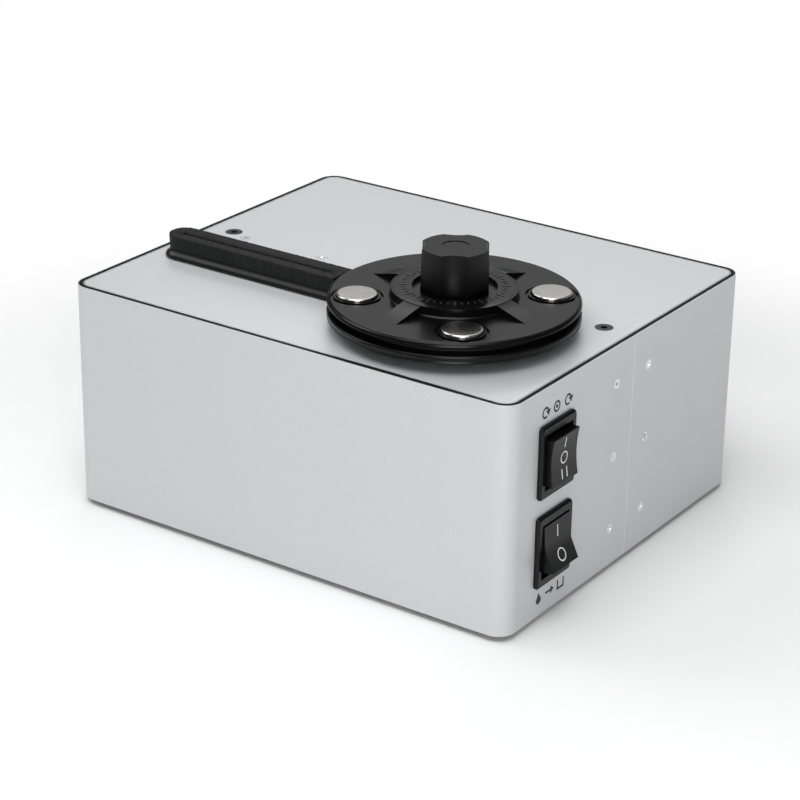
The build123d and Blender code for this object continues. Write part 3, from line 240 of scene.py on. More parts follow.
# polyethylene core of the composite: matt black where it is cut
blackCore = makeMoulded("polyethyleneCore", "#070708", "#101011", 0.6, 0.5, 0.03, 0.2)
# powder coat: black with the fine pebble of the fused powder
powderCoat = makeMoulded("blackPowderCoat", "#101011", "#19191b", 0.5, 0.7, 0.04)
# moulded phenolic or ABS of the clamp: deep black satin with clear highlights
satinBlack = makeMoulded("satinBlackMoulding", "#050505", "#0b0b0c", 0.24, 1.0, 0.006, 0.22)
# knob: the same black, a little more matt from handling
knobBlack = makeMoulded("handledBlackMoulding", "#020202", "#060606", 0.3, 0.8, 0.008, 0.2)
# nylon of the switches: fine-grained semi-gloss
switchNylon = makeMoulded("switchNylon", "#050506", "#0b0c0c", 0.3, 0.45, 0.008, 0.26)
# brush handle: polished moulding
brushMoulding = makeMoulded("brushMoulding", "#080808", "#101010", 0.32, 1.2, 0.006, 0.32)
# nitrile rubber: dull, dry black
rubber = makeMoulded("nitrileRubber", "#131313", "#1d1d1d", 0.72, 0.5, 0.02)
hoseRubber = makeMoulded("hoseRubber", "#1a1a1b", "#262627", 0.6, 0.6, 0.02)
# natural polypropylene of the tank and the fan case: milky grey
polypropylene = makeMoulded("naturalPolypropylene", "#b9bcbb", "#c9cccb", 0.45, 1.5, 0.02)
circuitBoard = makeMoulded("glassFibreBoard", "#1d5b2c", "#27703a", 0.42, 0.5, 0.01)
# bright zinc plate: bluish white with a soft grain
zincPlate = makeMetal("brightZincPlate", "#e0e2e4", "#eff0f1", 0.3)
# bare cut edge of the composite's skins: bright where the saw and the deburring left it; also the painted
# highlight strips at the side joints
cutEdgeAndHighlightMetal = makeMetal("cutEdgeAndSeamHighlightMetal", "#e6e7e8", "#f6f6f6", 0.4, 0.3, (1, 1, 6))
blackedSteel = makeMetal("blackedSteel", "#3a3c40", "#4b4d52", 0.34)
millAluminium = makeMetal("millAluminium", "#b4b6b8", "#c6c8ca", 0.38, 0.5, (14, 1, 1))
groundSteel = makeMetal("groundSteel", "#a9a9a8", "#bdbdbc", 0.24, 0.3, (1, 1, 1))
platedCan = makeMetal("platedSteelCan", "#8f9294", "#a3a5a8", 0.36)
canAluminium = makeMetal("drawnAluminium", "#b0b2b4", "#c2c4c6", 0.34, 0.4, (1, 1, 12))
brass = makeMetal("plainBrass", "#b08d45", "#c4a25a", 0.3)
sinteredBronze = makeMetal("sinteredBronze", "#7d5a36", "#946d45", 0.5, 0.25)
blackAnodised = makeMetal("blackAnodisedAluminium", "#1a1a1c", "#242426", 0.36, 0.5)
print("materials ready:", len(bpy.data.materials))


plugCentres = []
plugLow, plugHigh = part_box("clamp_plugs")
discLow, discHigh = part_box("clamp_disc")
discMiddle = (discLow + discHigh) / 2
plugCircle, plugTurn = 44.6 * mm, 38
for step in range(4):
    angle = math.radians(plugTurn + 90 * step)
    plugCentres.append((discMiddle.x + plugCircle * math.cos(angle),
                        discMiddle.y + plugCircle * math.sin(angle)))
facedSteel = makeTurnedSteel(plugCentres)

nodeFinishes = {
    "front_wrap_skins": lacqueredSheet, "rear_wrap_skins": lacqueredSheet, "top_plate_skins": lacqueredSheet,
    "front_wrap_core": blackCore, "rear_wrap_core": blackCore, "top_plate_core": blackCore,
    "base_plate": powderCoat, "motor_plate": powderCoat, "turbine_bracket": powderCoat,
    "panel_rails": millAluminium, "motor_standoffs": millAluminium, "seam_brackets": zincPlate,
    "seam_screws": zincPlate, "tank_screws": zincPlate, "base_screws": zincPlate,
    "drive_screws": zincPlate, "rear_screws": zincPlate, "deck_screws": blackedSteel,
    "feet": rubber, "clamp_seal": rubber, "platter_mat": rubber, "drain_plug": rubber,
    "motor_switch_body": switchNylon, "vacuum_switch_body": switchNylon, "motor_rocker": switchNylon,
    "vacuum_rocker": switchNylon, "power_inlet": switchNylon, "fuse_drawer": switchNylon,
    "switch_terminals": brass, "inlet_pins": brass, "knob_insert": brass, "bearing_bush": sinteredBronze,
    "bearing_flange": blackAnodised, "platter": satinBlack, "clamp_disc": satinBlack, "clamp_knob": knobBlack,
    "arm_port": satinBlack, "drain_spout": satinBlack, "exhaust_grille": satinBlack,
    "brush_body": brushMoulding, "brush_bristles": rubber, "spindle": groundSteel, "output_shaft": groundSteel,
    "turbine_shaft": groundSteel, "drive_coupling": groundSteel, "knob_retainer": groundSteel,
    "clamp_plugs": facedSteel, "gearbox": platedCan, "gear_motor": platedCan, "turbine_motor": platedCan,
    "turbine_case": polypropylene, "impeller": polypropylene, "tank": polypropylene, "tank_lid": polypropylene,
    "suction_hose": hoseRubber, "arm_hose": hoseRubber, "drain_hose": hoseRubber,
    "run_capacitor": canAluminium, "terminal_board": circuitBoard,
}
for nodeName, finish in nodeFinishes.items():
    if nodeName in frame["nodes"]:
        frame["nodes"][nodeName].data.materials.clear()
        frame["nodes"][nodeName].data.materials.append(finish)
print("CAD nodes dressed:", len(nodeFinishes))


# Pieces that keep the CAD shape, with their edges eased
def easeEdges(piece, edge, edgeAngle=30, segments=2):
    bevel = piece.modifiers.new("easedEdges", "BEVEL")
    bevel.width = edge * mm
    bevel.segments = segments
    bevel.limit_method = "ANGLE"
    bevel.angle_limit = math.radians(edgeAngle)
    applyModifiers(piece)


def meshCopy(nodeName, pieceName):
    bpy.ops.mesh.primitive_plane_add(size=0.001)
    piece = bpy.context.active_object
    piece.name = pieceName
    piece.data = frame["nodes"][nodeName].data.copy()
    piece.data.name = pieceName
    pick(piece)
    bpy.ops.mesh.customdata_custom_splitnormals_clear()
    bpy.ops.object.mode_set(mode="EDIT")
    bpy.ops.mesh.select_all(action="SELECT")
    bpy.ops.mesh.remove_doubles(threshold=0.002 * mm)
    bpy.ops.mesh.dissolve_limited(angle_limit=math.radians(0.4))
    bpy.ops.object.mode_set(mode="OBJECT")
    return piece


def easedCopy(nodeName, pieceName, material, edge, edgeAngle=30, segments=2, smoothAngle=32):
    piece = meshCopy(nodeName, pieceName)
    easeEdges(piece, edge, edgeAngle, segments)
    return finishPiece(piece, material, nodeBody[nodeName], smoothAngle, (nodeName,))


def turnedPiece(name, profile, columns, centre):
    # profile is radius and height in millimetres; open ends are capped
    x, y = centre
    radius, height = profile[0]
    bpy.ops.mesh.primitive_circle_add(vertices=columns, radius=radius * mm, location=(x, y, height * mm))
    piece = added(name)
    bpy.ops.object.mode_set(mode="EDIT")
    bpy.ops.mesh.select_all(action="SELECT")
    for (radius, height), (nextRadius, nextHeight) in zip(profile, profile[1:]):
        bpy.ops.mesh.extrude_region_move(
            TRANSFORM_OT_translate={"value": (0, 0, (nextHeight - height) * mm)})
        scale = nextRadius / radius
        bpy.ops.transform.resize(value=(scale, scale, 1), center_override=(x, y, 0))
    bpy.ops.mesh.select_all(action="SELECT")
    bpy.ops.mesh.remove_doubles(threshold=0.001 * mm)
    bpy.ops.mesh.select_all(action="DESELECT")
    bpy.ops.mesh.select_mode(type="EDGE")
    bpy.ops.mesh.select_non_manifold()
    bpy.ops.mesh.fill_holes(sides=0)
    bpy.ops.mesh.select_all(action="SELECT")
    bpy.ops.mesh.normals_make_consistent(inside=False)
    bpy.ops.object.mode_set(mode="OBJECT")
    return piece


easedPieces = {
    "front_wrap_skins": ("frontWrapSkins", lacqueredSheet, "aluminium_skin", 0.09),
    "rear_wrap_skins": ("rearWrapSkins", lacqueredSheet, "aluminium_skin", 0.09),
    "top_plate_skins": ("deckSkins", lacqueredSheet, "aluminium_skin", 0.09),
    "base_plate": ("basePlate", powderCoat, "black_steel", 0.2),
    "deck_screws": ("deckSocketScrews", blackedSteel, "black_screw", 0.15),
    "feet": ("rubberFeet", rubber, "rubber", 0.4),
    "clamp_disc": ("clampDisc", satinBlack, "moulded_black", 0.22),
    "clamp_knob": ("clampKnob", knobBlack, "moulded_black", 0.3),
    "motor_switch_body": ("motorSwitchBody", switchNylon, "switch_black", 0.35),
    "vacuum_switch_body": ("vacuumSwitchBody", switchNylon, "switch_black", 0.35),
    "motor_rocker": ("motorRocker", switchNylon, "switch_black", 0.3),
    "vacuum_rocker": ("vacuumRocker", switchNylon, "switch_black", 0.3),
    "arm_port": ("armPort", satinBlack, "moulded_black", 0.25),
    "drain_spout": ("drainSpout", satinBlack, "moulded_black", 0.25),
    "drain_plug": ("drainPlug", rubber, "rubber", 0.4),
    "exhaust_grille": ("exhaustGrille", satinBlack, "moulded_black", 0.25),
    "power_inlet": ("powerInlet", switchNylon, "switch_black", 0.3),
    "fuse_drawer": ("fuseDrawer", switchNylon, "switch_black", 0.2),
    "inlet_pins": ("inletPins", brass, "brass", 0.3),
    "bearing_flange": ("bearingFlange", blackAnodised, "black_anodised", 0.25),
}
# the bare cut edge of a skin: narrow, facing up, and at the top of the cabinet
cutEdge = {"narrowerThan": 0.6, "upward": 0.3, "above": 114.5}
for nodeName, (pieceName, finish, slotName, edge) in easedPieces.items():
    easedPiece = easedCopy(nodeName, pieceName, finish, edge)
    if finish is lacqueredSheet:
        easedPiece.data.materials.append(cutEdgeAndHighlightMetal)
        for face in easedPiece.data.polygons:
            reach = easedPiece.dimensions.x + easedPiece.dimensions.y
            narrow = face.area < cutEdge["narrowerThan"] * mm * reach
            upward = face.normal.z > cutEdge["upward"] and face.center.z > cutEdge["above"] * mm
            if pieceName != "deckSkins" and upward and narrow:
                face.material_index = 1
print("eased pieces ready:", len(easedPieces))


def makeSeamHighlightStrips():
    # painted highlight: a strip of bright bare metal laid on each side face along the joint, where the rear
    # wrap's edge catches the light as a bright line
    values = {"width": 0.5, "proud": 0.05, "depth": 0.25, "inset": 0.4}
    low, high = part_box("rear_wrap_skins")
    for side, name in ((-1, "leftSeamHighlightStrip"), (1, "rightSeamHighlightStrip")):
        face = low.x if side < 0 else high.x
        length = (high.z - low.z) / mm - 2 * values["inset"]
        bpy.ops.mesh.primitive_cube_add(size=mm, location=(
            face + side * (values["proud"] - values["depth"] / 2) * mm,
            low.y + (values["width"] / 2 - 0.15) * mm, (low.z + high.z) / 2))
        strip = bpy.context.active_object
        strip.scale = (values["depth"], values["width"], length)
        strip = added(name)
        easeEdges(strip, 0.06)
        finishPiece(strip, cutEdgeAndHighlightMetal, "cabinet", 32, ())


makeSeamHighlightStrips()


# Platter and clamp
def makePlatter():
    values = {"radius": 58.5, "waist": 0.25, "edge": 0.8, "bossRadius": 16.0, "bossDrop": 2.1, "bore": 5.0,
              "rim": 4.0, "columns": 256}
    low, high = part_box("platter")
    centre = ((low.x + high.x) / 2, (low.y + high.y) / 2)
    top = high.z / mm
    under = top - values["rim"]
    edge, outer = values["edge"], values["radius"]
    boss, drop, bore = values["bossRadius"], values["bossDrop"], values["bore"]
    profile = [(bore, under - drop), (boss, under - drop), (boss, under)]
    for step in range(4):
        turn = math.radians(30 * step)
        profile.append((outer - edge * (1 - math.sin(turn)), under + edge * (1 - math.cos(turn))))
    profile += [(outer - values["waist"], under + 2 * edge), (outer - values["waist"], top - 2 * edge)]
    for step in range(4):
        turn = math.radians(30 * step)
        profile.append((outer - edge * (1 - math.cos(turn)), top - edge * (1 - math.sin(turn))))
    profile += [(bore, top), (bore, under - drop)]
    piece = turnedPiece("platterDisc", profile, values["columns"], centre)
    easeEdges(piece, 0.1, 40)
    finishPiece(piece, satinBlack, "platter", 32, ("platter",))


def makePlugs():
    values = {"radius": 9.5, "edge": 0.8, "crown": 0.12, "columns": 96}
    low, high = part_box("clamp_plugs")
    bottom, top = low.z / mm, high.z / mm
    radius, edge = values["radius"], values["edge"]
    profile = [(radius, bottom), (radius, top - edge)]
    for step in range(1, 6):
        angle = math.radians(18 * step)
        profile.append((radius - edge * (1 - math.cos(angle)),
                        top - edge * (1 - math.sin(angle)) - values["crown"]))
    profile += [(radius * 0.6, top - 0.3 * values["crown"]), (radius * 0.2, top)]
    plugs = [turnedPiece("clampPlug", profile, values["columns"], centre) for centre in plugCentres]
    piece = joined(plugs, "clampPlugs")
    finishPiece(piece, facedSteel, "clamp", 32, ("clamp_plugs",))


def makeHubScale():
    # raised bars round the hub, like the divisions of a dial
    values = {"count": 48, "longEvery": 4, "radius": 23.6, "short": 1.8, "long": 4.0,
              "width": 0.6, "rise": 0.3}
    top = discHigh.z / mm
    bars = []
    for index in range(values["count"]):
        length = values["short"] if index % values["longEvery"] else values["long"]
        turn = 2 * math.pi * (index + 0.5) / values["count"]
        bpy.ops.mesh.primitive_cube_add(size=mm, location=(discMiddle.x + values["radius"] * mm, discMiddle.y,
                                                          (top + values["rise"] / 2 - 0.05) * mm))
        bar = bpy.context.active_object
        bar.scale = (length, values["width"], values["rise"] + 0.1)
        bar = added("hubBar")
        bar.data.transform(Matrix.Translation((discMiddle.x, discMiddle.y, 0)) @ Matrix.Rotation(turn, 4, "Z")
                           @ Matrix.Translation((-discMiddle.x, -discMiddle.y, 0)))
        easeEdges(bar, 0.12)
        bars.append(bar)
    # raised marks in a paler grey than the moulding round them
    paleMarkFinish = makeMoulded("paleGreyMarkMoulding", "#1c1d1e", "#3a3b3c", 0.36, 0.8, 0.01)
    finishPiece(joined(bars, "hubScale"), paleMarkFinish, "clamp", 32, ())


makePlatter()
makePlugs()
makeHubScale()
print("platter and clamp ready")


# Screws with a cross recess
def looseParts(piece):
    parent = list(range(len(piece.data.vertices)))

    def top(index):
        while parent[index] != index:
            parent[index] = parent[parent[index]]
            index = parent[index]
        return index

    for edge in piece.data.edges:
        first, second = edge.vertices
        parent[top(first)] = top(second)
    groups = {}
    for vertex in piece.data.vertices:
        groups.setdefault(top(vertex.index), []).append(vertex.co.copy())
    return list(groups.values())


def makeCrossScrews(nodeName, pieceName, outward):
    values = {"arm": 0.56, "armWidth": 0.2, "depth": 1.1, "taper": 0.45, "edge": 0.12}
    piece = meshCopy(nodeName, pieceName)
    easeEdges(piece, values["edge"], 35)
    cutters = []
    for index, points in enumerate(looseParts(piece)):
        low = Vector([min(p[axis] for p in points) for axis in range(3)])
        high = Vector([max(p[axis] for p in points) for axis in range(3)])
        middle, half = (low + high) / 2, (high - low) / 2
        out = Vector(outward)
        if nodeName == "seam_screws":
            out = Vector((1 if middle.x > 0 else -1, 0, 0))
        face = middle + Vector([half[axis] * out[axis] for axis in range(3)])
        across = max(half[axis] for axis in range(3) if abs(out[axis]) < 0.5) * 2
        place = Matrix.Translation(face) @ out.to_track_quat("Z", "Y").to_matrix().to_4x4()
        for turn in (0, 90):
            bpy.ops.mesh.primitive_cube_add(size=1)
            cutter = bpy.context.active_object
            cutter.scale = (across * values["arm"], across * values["armWidth"], values["depth"] * mm * 2)
            cutter = added("crossCutter")
            for vertex in cutter.data.vertices:
                if vertex.co.z < 0:
                    vertex.co.x *= values["taper"]
            spin = Matrix.Rotation(math.radians(turn + 37 * index), 4, "Z")
            cutter.data.transform(place @ spin)
            cutters.append(cutter)
    for cutter in cutters:
        cut = piece.modifiers.new("crossRecess", "BOOLEAN")
        cut.object = cutter
        cut.operation = "DIFFERENCE"
        cut.solver = "EXACT"
    applyModifiers(piece)
    for cutter in cutters:
        bpy.data.objects.remove(cutter)
    finishPiece(piece, zincPlate, nodeBody[nodeName], 32, (nodeName,))


makeCrossScrews("seam_screws", "seamScrews", (1, 0, 0))
makeCrossScrews("tank_screws", "tankScrews", (0, 0, 1))
makeCrossScrews("base_screws", "baseScrews", (0, 0, -1))
makeCrossScrews("rear_screws", "rearScrews", (0, 1, 0))
print("screws ready")


# Marks on the switches and beside them
def makeInk(name, low, high, grain=0.5):
    # pad-printed ink: a thin matt film, slightly uneven where the pad lifted
    material, tree, shader = newMaterial(name, {"Roughness": 0.5, "IOR": 1.45})
    film = stretchedNoise(tree, objectPlace(tree), grain, (1, 1, 1), 2.0)
    addTone(tree, shader, film.outputs["Fac"], low, high)
    addBump(tree, shader, film.outputs["Fac"], 0.01)
    return material


whiteInk = makeInk("whitePadPrint", "#dcdcda", "#f0f0ee")
blackInk = makeInk("blackPadPrint", "#141416", "#212124")


def flatBar(y, z, width, height, thickness=0.12):
    bpy.ops.mesh.primitive_cube_add(size=mm, location=(0, y * mm, z * mm))
    bar = bpy.context.active_object
    bar.scale = (thickness, width, height)
    bar = added("printedBar")
    bpy.ops.object.mode_set(mode="EDIT")
    bpy.ops.mesh.select_all(action="SELECT")
    bpy.ops.mesh.subdivide(number_cuts=7)
    bpy.ops.object.mode_set(mode="OBJECT")
    return bar


def flatRing(y, z, radius, stroke, thickness=0.12, gap=None):
    bpy.ops.mesh.primitive_torus_add(major_radius=radius * mm, minor_radius=stroke / 2 * mm,
                                     major_segments=56, minor_segments=8, rotation=(0, math.pi / 2, 0))
    ring = added("printedRing")
    ring.data.transform(Matrix.Diagonal((thickness / stroke, 1, 1, 1)))
    if gap:
        start, end = gap
        selectFaces(ring, lambda face: start < math.degrees(math.atan2(face.center.z, face.center.y)) < end)
        bpy.ops.mesh.delete(type="FACE")
        bpy.ops.mesh.select_mode(type="EDGE")
        bpy.ops.mesh.select_non_manifold()
        bpy.ops.mesh.fill_holes(sides=0)
        bpy.ops.object.mode_set(mode="OBJECT")
    ring.data.transform(Matrix.Translation((0, y * mm, z * mm)))
    return ring


def flatShape(points, thickness=0.12):
    # a small printed outline, given as y and z in millimetres
    bpy.ops.mesh.primitive_circle_add(vertices=len(points), radius=mm, fill_type="NGON")
    shape = added("printedShape")
    for vertex, (y, z) in zip(shape.data.vertices, points):
        vertex.co = (-thickness / 2 * mm, y * mm, z * mm)
    bpy.ops.object.mode_set(mode="EDIT")
    bpy.ops.mesh.select_all(action="SELECT")
    bpy.ops.mesh.extrude_region_move(TRANSFORM_OT_translate={"value": (thickness * mm, 0, 0)})
    bpy.ops.mesh.select_all(action="SELECT")
    bpy.ops.mesh.normals_make_consistent(inside=False)
    bpy.ops.object.mode_set(mode="OBJECT")
    return shape


def makeRockerMarks():
    values = {"pivotDepth": 5.0, "motorTip": 3.7, "motorMiddle": 2.5, "motorHalf": 11.5, "vacuumTip": 3.5,
              "vacuumMiddle": 1.7, "vacuumHalf": 11.2, "ridgeHalf": 2.0, "tilt": -14, "stroke": 0.62}
    depth, tip = values["pivotDepth"], values["motorTip"]
    sag = tip - values["motorMiddle"]
    arcRadius = (values["motorHalf"] ** 2 + sag ** 2) / (2 * sag)

    def motorFace(z):
        return depth + values["motorMiddle"] + arcRadius - math.sqrt(arcRadius ** 2 - z ** 2)

    def vacuumFace(z):
        rise = (values["vacuumTip"] - values["vacuumMiddle"]) / (values["vacuumHalf"] - values["ridgeHalf"])
        return depth + values["vacuumMiddle"] + max(abs(z) - values["ridgeHalf"], 0) * rise

    stroke = values["stroke"]
    motorMarks = [flatBar(0, 7.4, stroke, 4.8), flatRing(0, 0, 2.6, stroke),
                  flatBar(-2.0, -7.4, stroke, 4.8), flatBar(2.0, -7.4, stroke, 4.8)]
    vacuumMarks = [flatBar(0, 6.0, stroke, 5.6), flatRing(0, -5.6, 2.8, stroke)]
    groups = ((motorMarks, motorFace, "motor_rocker", 0, "motorRockerMarks"),
              (vacuumMarks, vacuumFace, "vacuum_rocker", values["tilt"], "vacuumRockerMarks"))
    for marks, face, node, tilt, name in groups:
        piece = joined(marks, name)
        for vertex in piece.data.vertices:
            vertex.co.x += face(vertex.co.z / mm) * mm
        pivot = next(j for j in frame["record"]["behaviour"]["joints"] if j["child"] == node)["pos_m"]
        piece.data.transform(Matrix.Translation(pivot) @ Matrix.Rotation(math.radians(tilt), 4, "Y"))
        finishPiece(piece, whiteInk, node, 40, ())


def makePictograms():
    # turning arrows beside the motor switch; drop, flow and tray beside the vacuum switch
    values = {"ring": 2.3, "stroke": 1.05, "pitch": 9.4, "motorLift": 5.6, "vacuumDrop": 6.0, "head": 1.9}
    ring, stroke, pitch, head = values["ring"], values["stroke"], values["pitch"], values["head"]
    opening = (-60, 20)
    motor = [flatRing(-pitch, 0, ring, stroke, gap=opening), flatRing(pitch, 0, ring, stroke, gap=opening),
             flatRing(0, 0, ring, stroke), flatRing(0, 0, 0.5, 1.0)]
    for side in (-1, 1):
        y = side * pitch + ring
        motor.append(flatShape([(y - head, 0.9), (y + head, 0.9), (y, -2.0)]))
    drop = []
    for step in range(24):
        angle = 2 * math.pi * step / 24
        pointed = 1 + 0.55 * max(math.sin(angle), 0) ** 3
        drop.append((-pitch + 2.1 * math.cos(angle) * (1 - 0.55 * max(math.sin(angle), 0)),
                     -0.8 + 2.2 * math.sin(angle) * pointed))
    vacuum = [flatShape(drop), flatBar(-1.2, 0, 4.6, stroke), flatShape([(0.8, 2.0), (0.8, -2.0), (3.6, 0)]),
              flatBar(pitch, -2.2, 5.6, stroke), flatBar(pitch - 2.5, -0.2, stroke, 4.8),
              flatBar(pitch + 2.5, -0.2, stroke, 4.8)]
    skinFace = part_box("front_wrap_skins")[1].x
    groups = ((motor, "motor_switch_body", "motorPictograms", values["motorLift"]),
              (vacuum, "vacuum_switch_body", "vacuumPictograms", -values["vacuumDrop"]))
    for marks, node, name, lift in groups:
        low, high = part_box(node)
        edge = high.z if lift > 0 else low.z
        piece = joined(marks, name)
        piece.data.transform(Matrix.Translation((skinFace, (low.y + high.y) / 2, edge + lift * mm)))
        finishPiece(piece, blackInk, "cabinet", 40, ())


makeRockerMarks()
makePictograms()
print("marks ready")


# Wash brush
def brushPiece(name, levels, columns, nodeName, stray=None):
    # a turned stack of rings whose columns are then shared out round the brush's outline
    low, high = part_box(nodeName)
    reference = max(radius for radius, height in levels) * mm
    middleY, roundX, endX = (low.y + high.y) / 2, low.x + reference, high.x
    straight = endX - roundX
    legs = [reference, straight, math.pi * reference, straight, reference]
    piece = turnedPiece(name, levels, columns, (0, 0))
    for vertex in piece.data.vertices:
        radius = math.hypot(vertex.co.x, vertex.co.y)
        share = (math.atan2(vertex.co.y, vertex.co.x) / (2 * math.pi)) % 1
        if stray:
            radial, lift, fromHeight = stray
            column = round(share * columns) % columns
            radius += radial[column] * mm
            if vertex.co.z > fromHeight * mm:
                vertex.co.z += lift[column] * mm
        along, leg = share * sum(legs), 0
        while leg < 4 and along > legs[leg]:
            along -= legs[leg]
            leg += 1
        part = along / legs[leg]
        squareX = endX - (reference - radius)
        if leg in (0, 4):
            x, y = squareX, radius * (part if leg == 0 else part - 1)
        elif leg in (1, 3):
            run = part if leg == 1 else 1 - part
            x, y = squareX + (roundX - squareX) * run, radius if leg == 1 else -radius
        else:
            x, y = roundX - radius * math.sin(math.pi * part), radius * math.cos(math.pi * part)
        vertex.co.x, vertex.co.y = x, y + middleY
    return piece


def makeBristleMaterial():
    # fine nylon hair: near black, in strands that catch the light along their length
    values = {"strand": 0.55, "tuft": 2.4, "low": "#020202", "high": "#171718", "dark": 0.38, "pale": 0.72,
              "roughLow": 0.4, "roughHigh": 0.7, "relief": 0.12}
    material, tree, shader = newMaterial("nylonHair", {"IOR": 1.53, "Specular IOR Level": 0.25})
    place = objectPlace(tree)
    strand = stretchedNoise(tree, place, values["strand"], (1, 1, 9), 2.0)
    tuft = stretchedNoise(tree, place, values["tuft"], (1, 1, 4), 3.0)
    mixed = addNode(tree, "ShaderNodeMix", {"data_type": "FLOAT", "Factor": 0.4},
                    {"A": strand.outputs["Fac"], "B": tuft.outputs["Fac"]})
    ramp = addTone(tree, shader, mixed.outputs["Result"], values["low"], values["high"])
    ramp.color_ramp.elements[0].position = values["dark"]
    ramp.color_ramp.elements[1].position = values["pale"]
    addRoughness(tree, shader, strand.outputs["Fac"], values["roughLow"], values["roughHigh"])
    addBump(tree, shader, strand.outputs["Fac"], values["relief"])
    return material


def makeBrush():
    values = {"columns": 560, "hairWobble": 0.12, "hairLift": 0.2, "seed": 7}
    low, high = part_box("brush_body")
    bottom, half = low.z / mm, (high.y - low.y) / 2 / mm
    base = [(half - 0.7, 0.0), (half - 0.3, 0.1), (half - 0.07, 0.35), (half, 0.8), (half - 0.05, 1.3),
            (half - 0.25, 1.8), (half - 0.6, 2.25), (half - 1.05, 2.7), (half - 1.5, 3.15), (half - 1.9, 3.6),
            (half - 2.2, 4.05), (half - 2.4, 4.5)]
    piece = brushPiece("brushBase", [(r, bottom + z) for r, z in base], 200, "brush_body")
    finishPiece(piece, brushMoulding, "brush", 50, ("brush_body",))
    low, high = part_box("brush_bristles")
    bottom, top, half = low.z / mm, high.z / mm, (high.y - low.y) / 2 / mm
    hair = [(half - 0.35, bottom), (half - 0.22, bottom + 1.2), (half - 0.12, bottom + 3.0),
            (half - 0.04, bottom + 5.0), (half, top - 0.9), (half - 0.15, top - 0.35),
            (half - 0.5, top - 0.03),
            (half - 1.5, top), (half - 3.6, top - 0.1), (2.4, top - 0.15), (1.4, top - 0.5), (1.0, top - 1.6),
            (0.8, top - 3.0)]
    draw = random.Random(values["seed"])
    radial = [draw.uniform(-1, 1) * values["hairWobble"] for column in range(values["columns"])]
    lift = [draw.uniform(-1, 0.2) * values["hairLift"] for column in range(values["columns"])]
    piece = brushPiece("brushHair", hair, values["columns"], "brush_bristles", (radial, lift, top - 2))
    finishPiece(piece, makeBristleMaterial(), "brush", 60, ("brush_bristles",))


makeBrush()
print("brush ready")


# Floor, light and camera
def makeFloor():
    values = {"size": 12.0, "colour": "#e6e6e6", "lift": 0.05, "clearFrom": 0.24, "clearTo": 0.42}
    bpy.ops.mesh.primitive_plane_add(size=values["size"], location=(0, 0, 0))
    floor = added("paleFloor")
    material = bpy.data.materials.new("paleFloorPaint")
    material.use_nodes = True
    tree = material.node_tree
    tree.nodes.clear()
    place = objectPlace(tree)
    reach = addNode(tree, "ShaderNodeVectorMath", {"operation": "LENGTH"}, {0: place})
    clear = addNode(tree, "ShaderNodeMapRange",
                    {"interpolation_type": "SMOOTHSTEP", "From Min": values["clearFrom"],
                     "From Max": values["clearTo"]}, {"Value": reach.outputs["Value"]})
    path = addNode(tree, "ShaderNodeLightPath")
    seen = addNode(tree, "ShaderNodeMath", {"operation": "MAXIMUM"},
                   {0: path.outputs["Is Camera Ray"], 1: path.outputs["Is Glossy Ray"]})
    seen = addNode(tree, "ShaderNodeMath", {"operation": "MAXIMUM"},
                   {0: seen.outputs["Value"], 1: path.outputs["Is Transmission Ray"]})
    paint = addNode(tree, "ShaderNodeBsdfDiffuse", {"Color": toLinear(values["colour"])})
    lift = addNode(tree, "ShaderNodeEmission", {"Color": (1, 1, 1, 1), "Strength": values["lift"]})
    white = addNode(tree, "ShaderNodeEmission", {"Color": (1, 1, 1, 1), "Strength": 1.0})
    lifted = addNode(tree, "ShaderNodeAddShader", None,
                     {0: paint.outputs["BSDF"], 1: lift.outputs["Emission"]})
    near = addNode(tree, "ShaderNodeMixShader", None,
                   {0: clear.outputs["Result"], 1: lifted.outputs["Shader"], 2: white.outputs["Emission"]})
    shown = addNode(tree, "ShaderNodeMixShader", None,
                    {0: seen.outputs["Value"], 1: paint.outputs["BSDF"], 2: near.outputs["Shader"]})
    addNode(tree, "ShaderNodeOutputMaterial", None, {"Surface": shown.outputs["Shader"]})
    floor.data.materials.append(material)


def makeWorld():
    values = {"strength": 0.12, "colour": "#f6f8fb"}
    world = bpy.data.worlds.new("studioRoom")
    bpy.context.scene.world = world
    world.use_nodes = True
    tree = world.node_tree
    tree.nodes.clear()
    path = addNode(tree, "ShaderNodeLightPath")
    room = addNode(tree, "ShaderNodeBackground",
                   {"Color": toLinear(values["colour"]), "Strength": values["strength"]})
    white = addNode(tree, "ShaderNodeBackground", {"Color": (1, 1, 1, 1), "Strength": 1.0})
    shown = addNode(tree, "ShaderNodeMixShader", None,
                    {0: path.outputs["Is Camera Ray"], 1: room.outputs["Background"],
                     2: white.outputs["Background"]})
    addNode(tree, "ShaderNodeOutputWorld", None, {"Surface": shown.outputs["Shader"]})


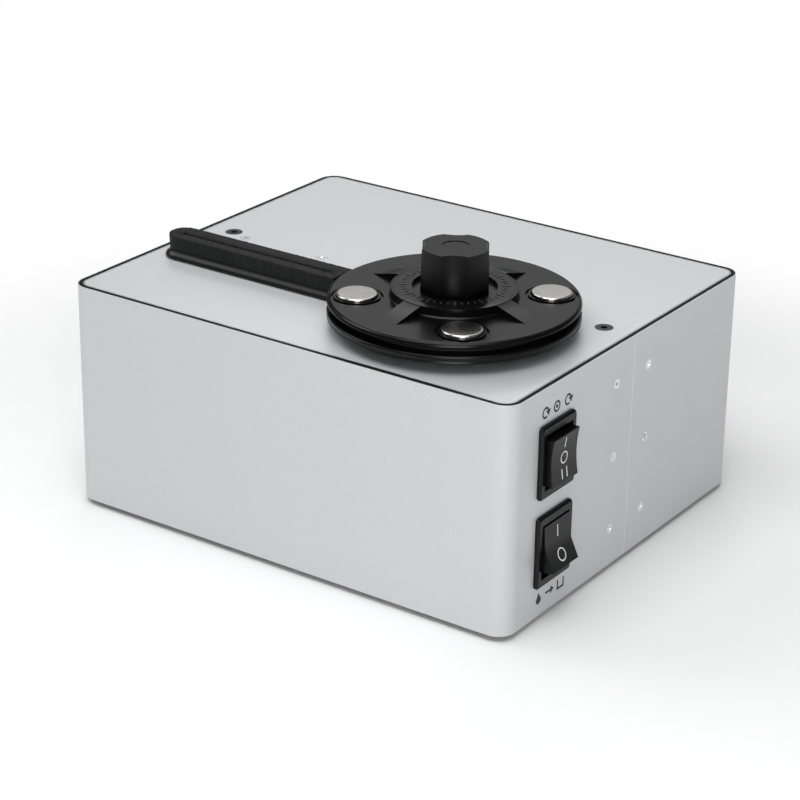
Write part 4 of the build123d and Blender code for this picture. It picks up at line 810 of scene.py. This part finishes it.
def addSoftbox(name, place, aim, size, power):
    bpy.ops.object.light_add(type="AREA", location=place)
    lamp = bpy.context.active_object
    lamp.name = name
    lamp.data.shape = "RECTANGLE"
    lamp.data.size, lamp.data.size_y = size
    lamp.data.energy = power
    toAim = Vector(aim) - Vector(place)
    lamp.rotation_euler = toAim.to_track_quat("-Z", "Y").to_euler()


def makeLights():
    aim, corner = (0.0, 0.0, 0.06), (0.14, -0.13, 0.1)
    addSoftbox("overheadSoftbox", (0.0, 0.0, 1.3), aim, (0.7, 0.7), 3.6)
    addSoftbox("rearTopSoftbox", (0.0, 0.35, 1.4), aim, (1.5, 1.2), 1.8)
    addSoftbox("frontTopSoftbox", (0.1, -0.6, 1.3), aim, (1.1, 0.7), 8.5)
    addSoftbox("leftSoftbox", (-1.1, -0.3, 1.1), aim, (0.8, 0.8), 6.5)
    addSoftbox("backSoftbox", (-0.5, 1.2, 0.9), aim, (1.2, 0.9), 1.8)
    addSoftbox("rearHighSoftbox", (-0.72, 1.04, 1.25), aim, (0.7, 0.5), 2)
    addSoftbox("cornerStrip", (0.55, -0.8, 0.35), aim, (0.4, 0.5), 3.2)
    addSoftbox("cornerSoftbox", (0.55, -0.42, 0.8), corner, (0.45, 0.45), 1.1)


def makeCamera():
    values = {"azimuth": 34.57, "elevation": 23.51, "roll": 0.84, "distance": 1.2216,
              "target": (-0.0125, -0.0025, 0.0463), "lens": 110.42}
    azimuth, elevation, roll = (math.radians(values[k]) for k in ("azimuth", "elevation", "roll"))
    back = Vector((math.sin(azimuth) * math.cos(elevation), -math.cos(azimuth) * math.cos(elevation),
                   math.sin(elevation)))
    level = Vector((math.cos(azimuth), math.sin(azimuth), 0))
    upright = back.cross(level)
    right = math.cos(roll) * level + math.sin(roll) * upright
    up = math.cos(roll) * upright - math.sin(roll) * level
    bpy.ops.object.camera_add()
    camera = bpy.context.active_object
    axes = Matrix((right, up, back)).transposed().to_4x4()
    camera.matrix_world = Matrix.Translation(Vector(values["target"]) + back * values["distance"]) @ axes
    camera.data.lens = values["lens"]
    camera.data.sensor_width = 36
    bpy.context.scene.camera = camera


makeFloor()
makeWorld()
makeLights()
makeCamera()
bpy.context.scene.view_settings.view_transform = "Standard"
print("stage, light and camera ready")
